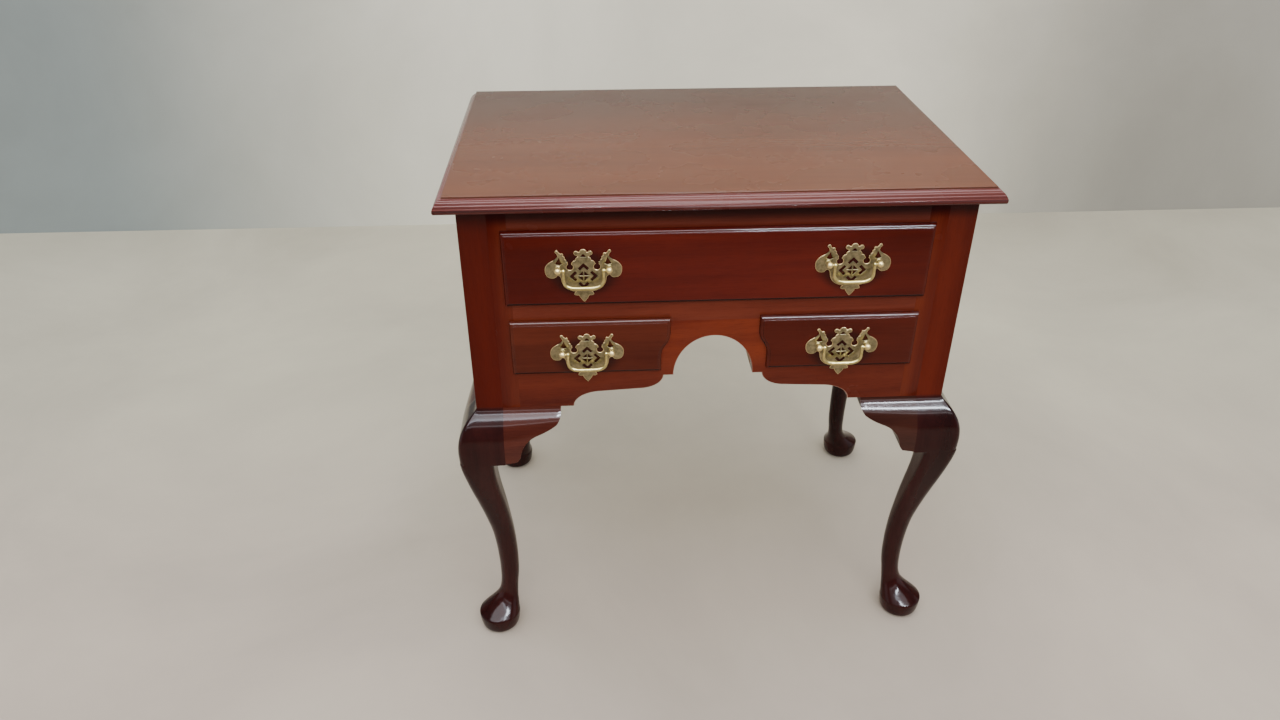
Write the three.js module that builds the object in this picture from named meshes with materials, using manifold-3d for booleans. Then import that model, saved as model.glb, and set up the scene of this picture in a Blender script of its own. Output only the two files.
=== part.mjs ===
// A lowboy: a small chest of one wide and two narrow drawers on four cabriole legs.
// Millimetres, +Z up, +X to the right of someone facing it, +Y towards its back.
// The origin lies on the floor, midway between the feet.

import * as THREE from 'three';
import Module from 'manifold-3d';
import { mergeVertices } from 'three/addons/utils/BufferGeometryUtils.js';

const wasm = await Module();
wasm.setup();

// Carcase
const caseWidth = 639;
const caseDepth = 418;
const postSize = 36;
const legHeight = 407;
const sideThickness = 16;
const backThickness = 14;
const panelRecess = 3;
const tongueLength = 8;
const glueGap = 0.3;
const cutOverrun = 2;
const samePlace = 0.05;

// Face frame, from the apron's lower edge up to the top rail
const frameThickness = 20;
const stileWidth = 23.5;
const apronBand = 61;
const lowerOpeningHeight = 67.4;
const middleRailHeight = 35;
const topOpeningHeight = 90;
const topRailHeight = 36.6;
const centreWebWidth = 159;
const tenonLength = 12;
const tenonThickness = 8;
const tenonShoulder = 6;

// Apron outline
const archWidth = 106;
const archRise = 59.4;
const archFoot = 13.4;
const apronLift = 45.2;
const apronShelf = 25;
const apronShelfSlope = 2.7;
const coveWidth = 32;
const shelfWidth = 51;
const shoulderWidth = 38;

// Top board
const topThickness = 19;
const sideOverhang = 23.5;
const frontOverhang = 24;
const backOverhang = 5;
const mouldingWidth = 11.7;

// Cabriole legs and knee blocks
const kneeProjection = 28;
const footRadius = 31.2;
const footInset = 2.4;
const footHeight = 72;
const postEdgeRadius = 1.5;
const kneeBlockLength = 78;
const kneeBlockDrop = 76;
const kneeBlockDepth = 20;

// Drawer runners and kickers
const runnerWidth = 43.5;
const runnerThickness = 17;
const guideHeight = 12;
const guideClearance = 1.2;
const innerRunnerReach = 20;

// Drawers
const sideClearance = 1.5;
const topClearance = 2.4;
const runningGap = 0.3;
const lipOverlap = 5.7;
const wideLipOverlap = 8.5;
const lipProud = 8.5;
const plugDepth = 11.5;
const boardThickness = 11;
const backBoardThickness = 10;
const bottomThickness = 5;
const bottomRise = 8;
const grooveDepth = 4.5;
const dadoDepth = 4;
const drawerBackGap = 14;
const tailLap = 2.5;
const tailPitch = 29;
const tailWidth = 17;
const tailFlare = 2;
const innerLipReach = 21.5;
const innerLipFoot = 9.7;
const curveDrop = 22;
const curveHeight = 35;

// Pulls
const postSpacing = 63.5;
const topPullInset = 1.55;
const lowerPullInset = 2.55;
const topPullRise = 3.8;
const lowerPullDrop = 1.8;
const plateThickness = 1.6;
const boltRadius = 2;
const boltClearance = 0.4;
const headRadius = 4.2;
const headStandoff = 9.4;
const collarRadius = 4.6;
const collarThickness = 1;
const neckRadius = 2.6;
const nutRadius = 4.5;
const nutThickness = 3.2;
const boltTail = 1.5;
const bailPinRadius = 1.4;
const bailPinGap = 0.3;
const bailPinEngagement = 3.2;
const bailKnuckleRadius = 2.6;
const bailArmRadius = 1.7;
const bailGripRadius = 2.5;
const bailHalfWidth = 24.8;
const bailDrop = 24.2;

// Counts of facets, and their length on a back plate as a share of half the post spacing
const cornerSteps = 3;
const curveSteps = 6;
const archSteps = 20;
const roundSides = 8;
const headSteps = 4;
const bailSides = 8;
const bailSteps = 13;
const plateFacetShare = 0.125;
const fullTurn = 2 * Math.PI;
const degree = Math.PI / 180;

// A leg above its foot: height as a share of the leg, outer face as a share of the knee's projection,
// inner face as a share of the post, then how round the outer corner and the other corners are
const kneeShares = [
  [0.811, 0.99, 1, 0.34, 0.03],
  [0.85, 1, 1, 0.28, 0.03],
  [0.889, 0.965, 1, 0.24, 0.03],
  [0.924, 0.83, 1, 0.2, 0.03],
  [0.948, 0.64, 1, 0.17, 0.03],
  [0.968, 0.4, 1, 0.14, 0.03],
  [0.983, 0.17, 1, 0.11, 0.03],
  [0.993, 0.045, 1, 0.09, 0.03],
];
const shankShares = [
  [0.206, -0.264, 0.97, 0.98, 0.98],
  [0.25, -0.264, 1, 0.98, 0.98],
  [0.31, -0.236, 1.005, 0.96, 0.98],
  [0.37, -0.18, 0.985, 0.92, 0.96],
  [0.43, -0.09, 0.945, 0.86, 0.9],
  [0.49, 0.06, 0.88, 0.78, 0.82],
  [0.55, 0.235, 0.815, 0.7, 0.72],
  [0.61, 0.43, 0.715, 0.62, 0.62],
  [0.67, 0.63, 0.62, 0.54, 0.52],
  [0.735, 0.82, 0.545, 0.45, 0.42],
  [0.79, 0.955, 0.53, 0.37, 0.32],
  [0.806, 0.98, 0.58, 0.35, 0.25],
];
// A pad foot with an arris round its upper edge: height as a share of the foot, then its toe and heel as
// shares of the foot's radius
const footShares = [
  [0, 0.785, 0.785],
  [0.05, 0.9, 0.9],
  [0.15, 0.96, 0.96],
  [0.35, 1, 1],
  [0.38, 0.975, 0.995],
  [0.42, 0.86, 0.98],
  [0.48, 0.655, 0.97],
  [0.55, 0.4, 0.955],
  [0.62, 0.19, 0.945],
  [0.7, 0.04, 0.94],
  [0.8, -0.06, 0.95],
  [1, -0.145, 0.995],
];
const footCornerShare = 0.98;
const kneeBlockEndShare = 0.64;

// Lower edge of a knee block: distance from the post as a share of its length, drop as a share of its drop
const kneeBlockShares = {
  heel: [0.05, 0.985],
  cusp: [0.205, 0.965],
  cuspCurve: [0.265, 0.9],
  throat: [0.275, 0.83],
  throatCurve: [0.325, 0.53],
  belly: [0.6, 0.435],
  bellyCurve: [0.8, 0.36],
  tip: [0.92, 0.27],
  tipCurve: [0.985, 0.2],
  end: [1, 0.11],
};

// Moulded edge of the top board: how far in, as a share of the moulding, and height as a share of the board
const topEdgeShares = [
  [0.16, 0],
  [0.03, 0.12],
  [0, 0.28],
  [0.03, 0.42],
  [0.12, 0.56],
  [0.32, 0.71],
  [0.6, 0.82],
  [0.93, 0.88],
  [0.94, 0.98],
  [1, 1],
];
// Thumbnail moulding of a drawer lip: inset and height as shares of how proud the lip stands
const lipShares = [
  [0, 0],
  [0, 0.3],
  [0.06, 0.5],
  [0.2, 0.7],
  [0.42, 0.84],
  [0.54, 0.87],
  [0.56, 1],
];

// Finishes
const polishedWood = new THREE.MeshStandardMaterial({ color: 0x5a1e12, roughness: 0.3, metalness: 0 });
const legWood = new THREE.MeshStandardMaterial({ color: 0x3c1610, roughness: 0.25, metalness: 0 });
const boxWood = new THREE.MeshStandardMaterial({ color: 0xb08a5c, roughness: 0.7, metalness: 0 });
const brass = new THREE.MeshStandardMaterial({ color: 0xa8905a, roughness: 0.3, metalness: 1 });

// Places that several pieces share
const cornerX = caseWidth / 2;
const frontY = -caseDepth / 2;
const backY = caseDepth / 2;
const postInnerX = cornerX - postSize;
const frameBackY = frontY + frameThickness;
const openingX = postInnerX - stileWidth;
const webX = centreWebWidth / 2;
const lowerOpeningZ = legHeight + apronBand;
const middleRailZ = lowerOpeningZ + lowerOpeningHeight;
const topOpeningZ = middleRailZ + middleRailHeight;
const topRailZ = topOpeningZ + topOpeningHeight;
const caseTopZ = topRailZ + topRailHeight;
const backBoardY = backY - panelRecess - backThickness;
const lowerX = (openingX + webX) / 2;
const topPullX = lowerX - topPullInset;
const bolt = boltRadius + boltClearance;

// Merges a geometry's shared corners and drops triangles that this leaves without area
function closedGeometry(geometry) {
  const bare = geometry.clone();
  bare.deleteAttribute('normal');
  bare.deleteAttribute('uv');
  const merged = mergeVertices(bare);
  const index = merged.getIndex().array;
  const kept = [];
  for (let i = 0; i < index.length; i += 3) {
    const [a, b, c] = [index[i], index[i + 1], index[i + 2]];
    if (a !== b && b !== c && c !== a) {
      kept.push(a, b, c);
    }
  }
  merged.setIndex(kept);
  return merged;
}

function solidOf(geometry) {
  const closed = closedGeometry(geometry);
  const vertProperties = new Float32Array(closed.getAttribute('position').array);
  const triVerts = new Uint32Array(closed.getIndex().array);
  return new wasm.Manifold(new wasm.Mesh({ numProp: 3, vertProperties, triVerts }));
}

function geometryOf(solid) {
  const mesh = solid.getMesh();
  const geometry = new THREE.BufferGeometry();
  const positions = new Float32Array(mesh.vertProperties);
  geometry.setAttribute('position', new THREE.BufferAttribute(positions, mesh.numProp));
  geometry.setIndex(new THREE.BufferAttribute(new Uint32Array(mesh.triVerts), 1));
  return geometry;
}

// The body with the cuts taken out of it
function cut(body, cuts) {
  let solid = solidOf(body);
  for (const tool of cuts) {
    solid = solid.subtract(solidOf(tool));
  }
  return geometryOf(solid);
}

function join(bodies) {
  let solid = solidOf(bodies[0]);
  for (const body of bodies.slice(1)) {
    solid = solid.add(solidOf(body));
  }
  return geometryOf(solid);
}

function box(x0, x1, y0, y1, z0, z1) {
  const geometry = new THREE.BoxGeometry(x1 - x0, y1 - y0, z1 - z0);
  geometry.translate((x0 + x1) / 2, (y0 + y1) / 2, (z0 + z1) / 2);
  return geometry;
}

function shapeOf(points) {
  return new THREE.Shape(points.map(([x, y]) => new THREE.Vector2(x, y)));
}

// A closed outline without points that lie in the same place as the one before
function withoutRepeats(points) {
  return points.filter(([x, y], i) => {
    const [beforeX, beforeY] = points[(i + points.length - 1) % points.length];
    return Math.hypot(x - beforeX, y - beforeY) > samePlace;
  });
}

function plainExtrusion(shape, depth) {
  return new THREE.ExtrudeGeometry(shape, { depth, bevelEnabled: false, curveSegments: curveSteps });
}

// A shape drawn as X across and Z up, extruded from y0 back to y1
function alongY(shape, y0, y1) {
  const geometry = plainExtrusion(shape, y1 - y0);
  const across = new THREE.Vector3(1, 0, 0);
  const up = new THREE.Vector3(0, 0, 1);
  const forward = new THREE.Vector3(0, -1, 0);
  geometry.applyMatrix4(new THREE.Matrix4().makeBasis(across, up, forward));
  geometry.translate(0, y1, 0);
  return geometry;
}

// A shape drawn as Y across and Z up, extruded from x0 to x1
function alongX(shape, x0, x1) {
  const geometry = plainExtrusion(shape, x1 - x0);
  const across = new THREE.Vector3(0, 1, 0);
  const up = new THREE.Vector3(0, 0, 1);
  const right = new THREE.Vector3(1, 0, 0);
  geometry.applyMatrix4(new THREE.Matrix4().makeBasis(across, up, right));
  geometry.translate(x0, 0, 0);
  return geometry;
}

function alongZ(shape, z0, z1) {
  const geometry = plainExtrusion(shape, z1 - z0);
  geometry.translate(0, 0, z0);
  return geometry;
}

// A copy flipped across the planes named by signs of -1, with its faces turned to point out again
function mirrored(geometry, signX, signY) {
  const copy = closedGeometry(geometry);
  copy.applyMatrix4(new THREE.Matrix4().makeScale(signX, signY, 1));
  return signX * signY < 0 ? turnedInsideOut(copy) : copy;
}

function turnedInsideOut(geometry) {
  const index = Array.from(geometry.getIndex().array);
  for (let i = 0; i < index.length; i += 3) {
    [index[i], index[i + 1]] = [index[i + 1], index[i]];
  }
  geometry.setIndex(index);
  return geometry;
}

// Swaps X and Y about the case's corner, for what a side has in place of the front
function turnedToSide(geometry) {
  const copy = closedGeometry(geometry);
  const position = copy.getAttribute('position');
  for (let i = 0; i < position.count; i += 1) {
    const x = position.getX(i);
    const y = position.getY(i);
    position.setXY(i, cornerX + (y - backY), backY + (x - cornerX));
  }
  return turnedInsideOut(copy);
}

// The two coordinates in which a flat ring is widest
function flatPoints(ring) {
  const size = new THREE.Box3().setFromPoints(ring).getSize(new THREE.Vector3());
  if (size.z <= size.x && size.z <= size.y) {
    return ring.map((p) => new THREE.Vector2(p.x, p.y));
  }
  if (size.x <= size.y) {
    return ring.map((p) => new THREE.Vector2(p.y, p.z));
  }
  return ring.map((p) => new THREE.Vector2(p.z, p.x));
}

// A closed skin through rings of the same count, which turn anticlockwise about the way they follow
function loft(rings) {
  const count = rings[0].length;
  const positions = rings.flat().flatMap((p) => [p.x, p.y, p.z]);
  const index = [];
  for (let i = 0; i + 1 < rings.length; i += 1) {
    for (let j = 0; j < count; j += 1) {
      const next = (j + 1) % count;
      const a = i * count + j;
      const b = i * count + next;
      index.push(a, b, b + count, a, b + count, a + count);
    }
  }
  const turn = (ring) => (THREE.ShapeUtils.isClockWise(flatPoints(ring)) ? -1 : 1);
  const last = (rings.length - 1) * count;
  const ends = [[rings[0], 0, true], [rings[rings.length - 1], last, false]];
  for (const [ring, offset, facesBack] of ends) {
    const flat = flatPoints(ring);
    for (const [a, b, c] of THREE.ShapeUtils.triangulateShape(flat, [])) {
      const area = flat[b].clone().sub(flat[a]).cross(flat[c].clone().sub(flat[a]));
      const alongRing = area * turn(ring) > 0;
      const order = alongRing !== facesBack ? [a, b, c] : [a, c, b];
      index.push(...order.map((corner) => offset + corner));
    }
  }
  const geometry = new THREE.BufferGeometry();
  geometry.setAttribute('position', new THREE.BufferAttribute(new Float32Array(positions), 3));
  geometry.setIndex(index);
  return geometry;
}

const group = new THREE.Group();

function place(parent, name, geometry, material) {
  const mesh = new THREE.Mesh(geometry, material);
  mesh.name = name;
  parent.add(mesh);
}

// A square section with rounded corners, from inner to outer on both axes about the case's corner
function legSection(z, inner, outer, outerCornerShare, otherCornerShare) {
  const half = (outer - inner) / 2;
  const points = [];
  for (let corner = 0; corner < 4; corner += 1) {
    const radius = half * (corner === 0 ? outerCornerShare : otherCornerShare);
    const towardsX = corner === 0 || corner === 3 ? outer - radius : inner + radius;
    const towardsY = corner < 2 ? outer - radius : inner + radius;
    for (let step = 0; step <= cornerSteps; step += 1) {
      const angle = (corner + step / cornerSteps) * fullTurn / 4;
      const x = cornerX + towardsX + radius * Math.cos(angle);
      const y = backY + towardsY + radius * Math.sin(angle);
      points.push(new THREE.Vector3(x, y, z));
    }
  }
  return points;
}

// One leg and its post in a single length of wood, for the rear right corner
function cabrioleLeg() {
  const rings = [];
  for (const [heightShare, toeShare, heelShare] of footShares) {
    const outer = toeShare * footRadius - footInset;
    const inner = -heelShare * footRadius - footInset;
    rings.push(legSection(heightShare * footHeight, inner, outer, footCornerShare, footCornerShare));
  }
  for (const [heightShare, outerShare, innerShare, ...cornerShares] of [...shankShares, ...kneeShares]) {
    const outer = outerShare * kneeProjection;
    const inner = -innerShare * postSize;
    rings.push(legSection(heightShare * legHeight, inner, outer, ...cornerShares));
  }
  const postCornerShare = 2 * postEdgeRadius / postSize;
  const lastCornerShare = kneeShares[0][4];
  rings.push(legSection(legHeight, -postSize, 0, postCornerShare, lastCornerShare));
  rings.push(legSection(caseTopZ, -postSize, 0, postCornerShare, lastCornerShare));
  return loft(rings);
}

// Grooves in a post that take the tongues of the side board and the back board
function sideGroove() {
  const x1 = cornerX - panelRecess + glueGap;
  const x0 = cornerX - panelRecess - sideThickness - glueGap;
  const y0 = backY - postSize - cutOverrun;
  const y1 = backY - postSize + tongueLength + glueGap;
  return box(x0, x1, y0, y1, legHeight + tenonShoulder - glueGap, caseTopZ + cutOverrun);
}

function backGroove() {
  const x0 = postInnerX - cutOverrun;
  const x1 = postInnerX + tongueLength + glueGap;
  const y0 = backBoardY - glueGap;
  const y1 = backY - panelRecess + glueGap;
  return box(x0, x1, y0, y1, legHeight + tenonShoulder - glueGap, caseTopZ + cutOverrun);
}

// A knee block in the place of the rear one on the right: the knee's profile, tapering towards its end,
// cut to the scrolled outline
function kneeBlock() {
  const profile = (x, share) => {
    const points = [[-kneeBlockDepth, 0], [-kneeBlockDepth, -kneeBlockDrop - cutOverrun]];
    const deepest = kneeShares[0][1] * kneeProjection * share;
    points.push([deepest, -kneeBlockDrop - cutOverrun]);
    for (const [heightShare, outerShare] of kneeShares) {
      points.push([outerShare * kneeProjection * share, (heightShare - 1) * legHeight]);
    }
    points.push([0, 0]);
    return points.map(([out, up]) => new THREE.Vector3(x, backY + out, legHeight + up));
  };
  const endX = postInnerX - kneeBlockLength;
  const lengthwise = loft([profile(endX, kneeBlockEndShare), profile(postInnerX, 1)]);
  const at = ([alongShare, downShare]) => {
    return [postInnerX - alongShare * kneeBlockLength, legHeight - downShare * kneeBlockDrop];
  };
  const s = kneeBlockShares;
  const outline = new THREE.Shape();
  outline.moveTo(postInnerX, legHeight);
  outline.lineTo(postInnerX - kneeBlockLength, legHeight);
  outline.lineTo(...at(s.end));
  outline.quadraticCurveTo(...at(s.tipCurve), ...at(s.tip));
  outline.quadraticCurveTo(...at(s.bellyCurve), ...at(s.belly));
  outline.quadraticCurveTo(...at(s.throatCurve), ...at(s.throat));
  outline.quadraticCurveTo(...at(s.cuspCurve), ...at(s.cusp));
  outline.lineTo(...at(s.heel));
  outline.lineTo(postInnerX, legHeight - kneeBlockDrop);
  const scrollY = backY - kneeBlockDepth - cutOverrun;
  const scrolled = alongY(outline, scrollY, backY + kneeProjection + cutOverrun);
  return geometryOf(solidOf(lengthwise).intersect(solidOf(scrolled)));
}

const rearRightLeg = cabrioleLeg();
const frontLeg = cut(rearRightLeg, [sideGroove()]);
const rearLeg = cut(rearRightLeg, [sideGroove(), backGroove()]);
const block = kneeBlock();
const sideBlock = turnedToSide(block);
for (const [sideName, signX] of [['left', -1], ['right', 1]]) {
  place(group, `leg_front_${sideName}`, mirrored(frontLeg, signX, -1), legWood);
  place(group, `leg_rear_${sideName}`, mirrored(rearLeg, signX, 1), legWood);
  place(group, `knee_block_front_${sideName}`, mirrored(block, signX, -1), legWood);
  place(group, `knee_block_side_front_${sideName}`, mirrored(sideBlock, signX, -1), legWood);
  place(group, `knee_block_side_rear_${sideName}`, mirrored(sideBlock, signX, 1), legWood);
}

// Side boards and the back board, tongued into the posts
function sideBoard() {
  const x1 = cornerX - panelRecess;
  const x0 = x1 - sideThickness;
  const board = box(x0, x1, frontY + postSize, backY - postSize, legHeight, caseTopZ);
  const tongueY = backY - postSize + tongueLength;
  const tongues = box(x0, x1, -tongueY, tongueY, legHeight + tenonShoulder, caseTopZ);
  return join([board, tongues]);
}

function backBoard() {
  const y1 = backY - panelRecess;
  const board = box(-postInnerX, postInnerX, backBoardY, y1, legHeight, caseTopZ);
  const tongueX = postInnerX + tongueLength;
  const tongues = box(-tongueX, tongueX, backBoardY, y1, legHeight + tenonShoulder, caseTopZ);
  return join([board, tongues]);
}

const side = sideBoard();
place(group, 'side_left', mirrored(side, -1, 1), polishedWood);
place(group, 'side_right', side, polishedWood);
place(group, 'back_board', backBoard(), boxWood);

// Face frame: two stiles between the posts, with the rails and the apron tenoned into them
const tenonY = frontY + (frameThickness - tenonThickness) / 2;

function tenon(signX, z0, z1, extra) {
  const x0 = signX * (openingX - cutOverrun);
  const x1 = signX * (openingX + tenonLength + extra);
  const y1 = tenonY + tenonThickness + extra;
  const inset = tenonShoulder - extra;
  return box(Math.min(x0, x1), Math.max(x0, x1), tenonY - extra, y1, z0 + inset, z1 - inset);
}

function withTenons(body, [z0, z1]) {
  return join([body, tenon(-1, z0, z1, 0), tenon(1, z0, z1, 0)]);
}

const railHeights = {
  top: [topRailZ, caseTopZ],
  middle: [middleRailZ, topOpeningZ],
  apron: [legHeight, lowerOpeningZ],
};

function stile() {
  const body = box(openingX, postInnerX, frontY, frameBackY, legHeight, caseTopZ);
  return cut(body, Object.values(railHeights).map(([z0, z1]) => tenon(1, z0, z1, glueGap)));
}

function rail([z0, z1]) {
  return withTenons(box(-openingX, openingX, frontY, frameBackY, z0, z1), [z0, z1]);
}

// The apron's outline: scrolled lower edge with a centre arch, and the web between the lower drawers
function apronOutline() {
  const archX = archWidth / 2;
  const shelfInnerX = archX + archFoot + coveWidth;
  const shelfOuterX = shelfInnerX + shelfWidth;
  const shoulderX = shelfOuterX + shoulderWidth;
  const footZ = legHeight + apronLift;
  const shelfZ = legHeight + apronShelf;
  const shoulderZ = shelfZ - apronShelfSlope;
  const right = new THREE.Path();
  right.moveTo(shoulderX, legHeight);
  right.absellipse(shelfOuterX, legHeight, shoulderWidth, shoulderZ - legHeight, 0, fullTurn / 4, false);
  right.lineTo(shelfInnerX, shelfZ);
  right.absellipse(shelfInnerX, footZ, coveWidth, footZ - shelfZ, 3 * fullTurn / 4, fullTurn / 2, true);
  right.lineTo(archX, footZ);
  const lower = right.getPoints(curveSteps).map((p) => [p.x, p.y]);
  const arch = [];
  for (let step = 1; step < archSteps; step += 1) {
    const angle = step / archSteps * fullTurn / 2;
    arch.push([archX * Math.cos(angle), footZ + archRise * Math.sin(angle)]);
  }
  const left = lower.map(([x, z]) => [-x, z]).reverse();
  const upper = [
    [-openingX, legHeight],
    [-openingX, lowerOpeningZ],
    [-webX, lowerOpeningZ],
    [-webX, middleRailZ],
    [webX, middleRailZ],
    [webX, lowerOpeningZ],
    [openingX, lowerOpeningZ],
    [openingX, legHeight],
  ];
  return withoutRepeats([...lower, ...arch, ...left, ...upper]);
}

function apron() {
  return withTenons(alongY(shapeOf(apronOutline()), frontY, frameBackY), railHeights.apron);
}

const rightStile = stile();
place(group, 'stile_left', mirrored(rightStile, -1, 1), polishedWood);
place(group, 'stile_right', rightStile, polishedWood);
place(group, 'top_rail', rail(railHeights.top), polishedWood);
place(group, 'middle_rail', rail(railHeights.middle), polishedWood);
place(group, 'apron', apron(), polishedWood);

// Top board, moulded on its front and both ends, square at the back
function topBoard() {
  const sideX = cornerX + sideOverhang;
  const nearY = frontY - frontOverhang;
  const farY = backY + backOverhang;
  const rings = topEdgeShares.map(([insetShare, heightShare]) => {
    const inset = insetShare * mouldingWidth;
    const z = caseTopZ + heightShare * topThickness;
    const corners = [
      [sideX - inset, nearY + inset],
      [sideX - inset, farY],
      [inset - sideX, farY],
      [inset - sideX, nearY + inset],
    ];
    return corners.map(([x, y]) => new THREE.Vector3(x, y, z));
  });
  return loft(rings);
}

place(group, 'top_board', topBoard(), polishedWood);

// L-shaped runners, whose upright guides the drawer side, and the kickers above the wide drawer
function runner(drawerX, bearingX, guideX, bearingZ) {
  const towardsGuide = Math.sign(guideX - bearingX);
  const guideFace = drawerX + towardsGuide * guideClearance;
  const outline = [
    [bearingX, bearingZ - runnerThickness],
    [guideX, bearingZ - runnerThickness],
    [guideX, bearingZ + guideHeight],
    [guideFace, bearingZ + guideHeight],
    [guideFace, bearingZ],
    [bearingX, bearingZ],
  ];
  return alongY(shapeOf(outline), frameBackY, backBoardY);
}

const drawerSideX = openingX - sideClearance;
const bearingX = postInnerX - runnerWidth;
const topRunner = runner(drawerSideX, bearingX, postInnerX, topOpeningZ);
const lowerRunner = runner(drawerSideX, bearingX, postInnerX, lowerOpeningZ);
const innerSideX = webX + sideClearance;
const archClearX = archWidth / 2 + glueGap;
const innerRunner = runner(innerSideX, innerSideX + innerRunnerReach, archClearX, lowerOpeningZ);
const kicker = box(bearingX, postInnerX, frameBackY, backBoardY, topRailZ, caseTopZ);
for (const [sideName, signX] of [['left', -1], ['right', 1]]) {
  place(group, `top_runner_${sideName}`, mirrored(topRunner, signX, 1), boxWood);
  place(group, `lower_runner_${sideName}`, mirrored(lowerRunner, signX, 1), boxWood);
  place(group, `inner_runner_${sideName}`, mirrored(innerRunner, signX, 1), boxWood);
  place(group, `kicker_${sideName}`, mirrored(kicker, signX, 1), boxWood);
}

// A ring of the outline moved inwards by the same inset on every edge
function insetRing(points, inset, y) {
  const count = points.length;
  return points.map(([x, z], i) => {
    const [beforeX, beforeZ] = points[(i + count - 1) % count];
    const [afterX, afterZ] = points[(i + 1) % count];
    const before = new THREE.Vector2(x - beforeX, z - beforeZ).normalize();
    const after = new THREE.Vector2(afterX - x, afterZ - z).normalize();
    const inward = new THREE.Vector2(-before.y - after.y, before.x + after.x);
    const stretch = 2 / inward.lengthSq();
    return new THREE.Vector3(x + inward.x * stretch * inset, y, z + inward.y * stretch * inset);
  });
}

// The moulded lip of a drawer front: an anticlockwise outline in X and Z, standing proud of the frame
function mouldedLip(points) {
  const rings = lipShares.map(([insetShare, heightShare]) => {
    const y = -glueGap - heightShare * (lipProud - glueGap);
    return insetRing(points, insetShare * lipProud, y);
  });
  return loft(rings);
}

// Dovetails at the front end of a drawer side, spread about the middle of its height
function tailCentres(z0, z1) {
  const count = Math.max(2, Math.round((z1 - z0) / tailPitch));
  return Array.from({ length: count }, (_, i) => z0 + (z1 - z0) * (i + 0.5) / count);
}

function tailOutline(z, spread) {
  const root = tailWidth / 2 - tailFlare + spread;
  const tip = tailWidth / 2 + spread;
  return [
    [plugDepth, z - root],
    [tailLap - spread, z - tip],
    [tailLap - spread, z + tip],
    [plugDepth, z + root],
  ];
}

// The pieces of one drawer, in a frame whose origin is the middle of the opening's lower edge on the face
function drawerPieces(width, height, lipPoints, pullSpots) {
  const sideX = width / 2 - sideClearance;
  const insideX = sideX - boardThickness;
  const z0 = runningGap;
  const z1 = height - topClearance;
  const endY = backBoardY - frontY - drawerBackGap;
  const bottomZ = z0 + bottomRise;
  const bottomTopZ = bottomZ + bottomThickness;
  const tails = tailCentres(z0, z1);

  const plug = box(-sideX, sideX, -glueGap - cutOverrun, plugDepth, z0, z1);
  const frontCuts = [];
  for (const signX of [-1, 1]) {
    for (const z of tails) {
      const outline = tailOutline(z, glueGap);
      const reach = [[plugDepth + cutOverrun, outline[3][1]], [plugDepth + cutOverrun, outline[0][1]]];
      const x0 = signX > 0 ? insideX - glueGap : -sideX - cutOverrun;
      const x1 = signX > 0 ? sideX + cutOverrun : glueGap - insideX;
      frontCuts.push(alongX(shapeOf([...outline, ...reach]), x0, x1));
    }
  }
  const grooveZ0 = bottomZ - glueGap;
  const grooveZ1 = bottomTopZ + glueGap;
  const grooveX = insideX - glueGap;
  const grooveY = plugDepth - grooveDepth - glueGap;
  frontCuts.push(box(-grooveX, grooveX, grooveY, plugDepth + cutOverrun, grooveZ0, grooveZ1));
  for (const [x, z] of pullSpots) {
    for (const signX of [-1, 1]) {
      const hole = new THREE.CylinderGeometry(bolt, bolt, 2 * (lipProud + plugDepth), roundSides);
      hole.translate(x + signX * postSpacing / 2, 0, z);
      frontCuts.push(hole);
    }
  }
  const front = cut(join([mouldedLip(lipPoints), plug]), frontCuts);

  const sidePoints = [[endY, z0], [endY, z1], [plugDepth, z1]];
  for (const z of [...tails].reverse()) {
    sidePoints.push(...tailOutline(z, 0).reverse());
  }
  sidePoints.push([plugDepth, z0]);
  const backY0 = endY - backBoardThickness;
  const cutX = insideX - cutOverrun;
  const cutY = endY + cutOverrun;
  const panelCutX = insideX + grooveDepth + glueGap;
  const dadoCutX = insideX + dadoDepth + glueGap;
  const sideCuts = [
    box(cutX, panelCutX, plugDepth + glueGap, cutY, grooveZ0, grooveZ1),
    box(cutX, dadoCutX, backY0 - glueGap, cutY, grooveZ0, z1 + cutOverrun),
  ];
  const rightSide = cut(alongX(shapeOf(sidePoints), insideX, sideX), sideCuts);

  const tongueX = insideX - 2 * glueGap;
  const panelX = insideX + grooveDepth;
  const panelY = plugDepth + 2 * glueGap;
  const bottom = [
    [-tongueX, plugDepth - grooveDepth],
    [tongueX, plugDepth - grooveDepth],
    [tongueX, panelY],
    [panelX, panelY],
    [panelX, endY],
    [-panelX, endY],
    [-panelX, panelY],
    [-tongueX, panelY],
  ];
  const backX = insideX + dadoDepth;
  return {
    front: [front, polishedWood],
    side_left: [mirrored(rightSide, -1, 1), boxWood],
    side_right: [rightSide, boxWood],
    back: [box(-backX, backX, backY0, endY, bottomTopZ + glueGap, z1), boxWood],
    bottom: [alongZ(shapeOf(bottom), bottomZ, bottomTopZ), boxWood],
  };
}

// The pierced back plate, drawn on a unit of half the post spacing: right half of the outline, from the
// crest's top down to the drop's point
const crestShares = { centre: [0, 0.63], radius: 0.142, from: 90, to: 10 };
const crestKnobShares = { centre: [0.271, 0.608], radius: 0.091, from: 150, to: -100 };
const notchShares = { centre: [0.529, 0.02], radius: 0.132, from: 115, to: 420 };
const innerKnobShares = { centre: [0.825, 0.55], radius: 0.06, from: 225, to: 45 };
const tipKnobShares = { centre: [1.014, 0.672], radius: 0.066, from: 190, to: -80 };
const neckShares = [0.202, 0.457];
const shoulderShares = [0.299, 0.3, 0.46, 0.175];
const wingEdgeShares = [[0.611, 0.19], [0.693, 0.27, 0.77, 0.495]];
const outerNeckShares = [0.983, 0.495];
const wingShares = [
  [1.033, 0.37, 1.216, 0.287],
  [1.5, 0.15, 1.5, -0.094],
  [1.493, -0.447, 1.209, -0.447],
  [1.09, -0.447, 1.027, -0.328],
];
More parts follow.
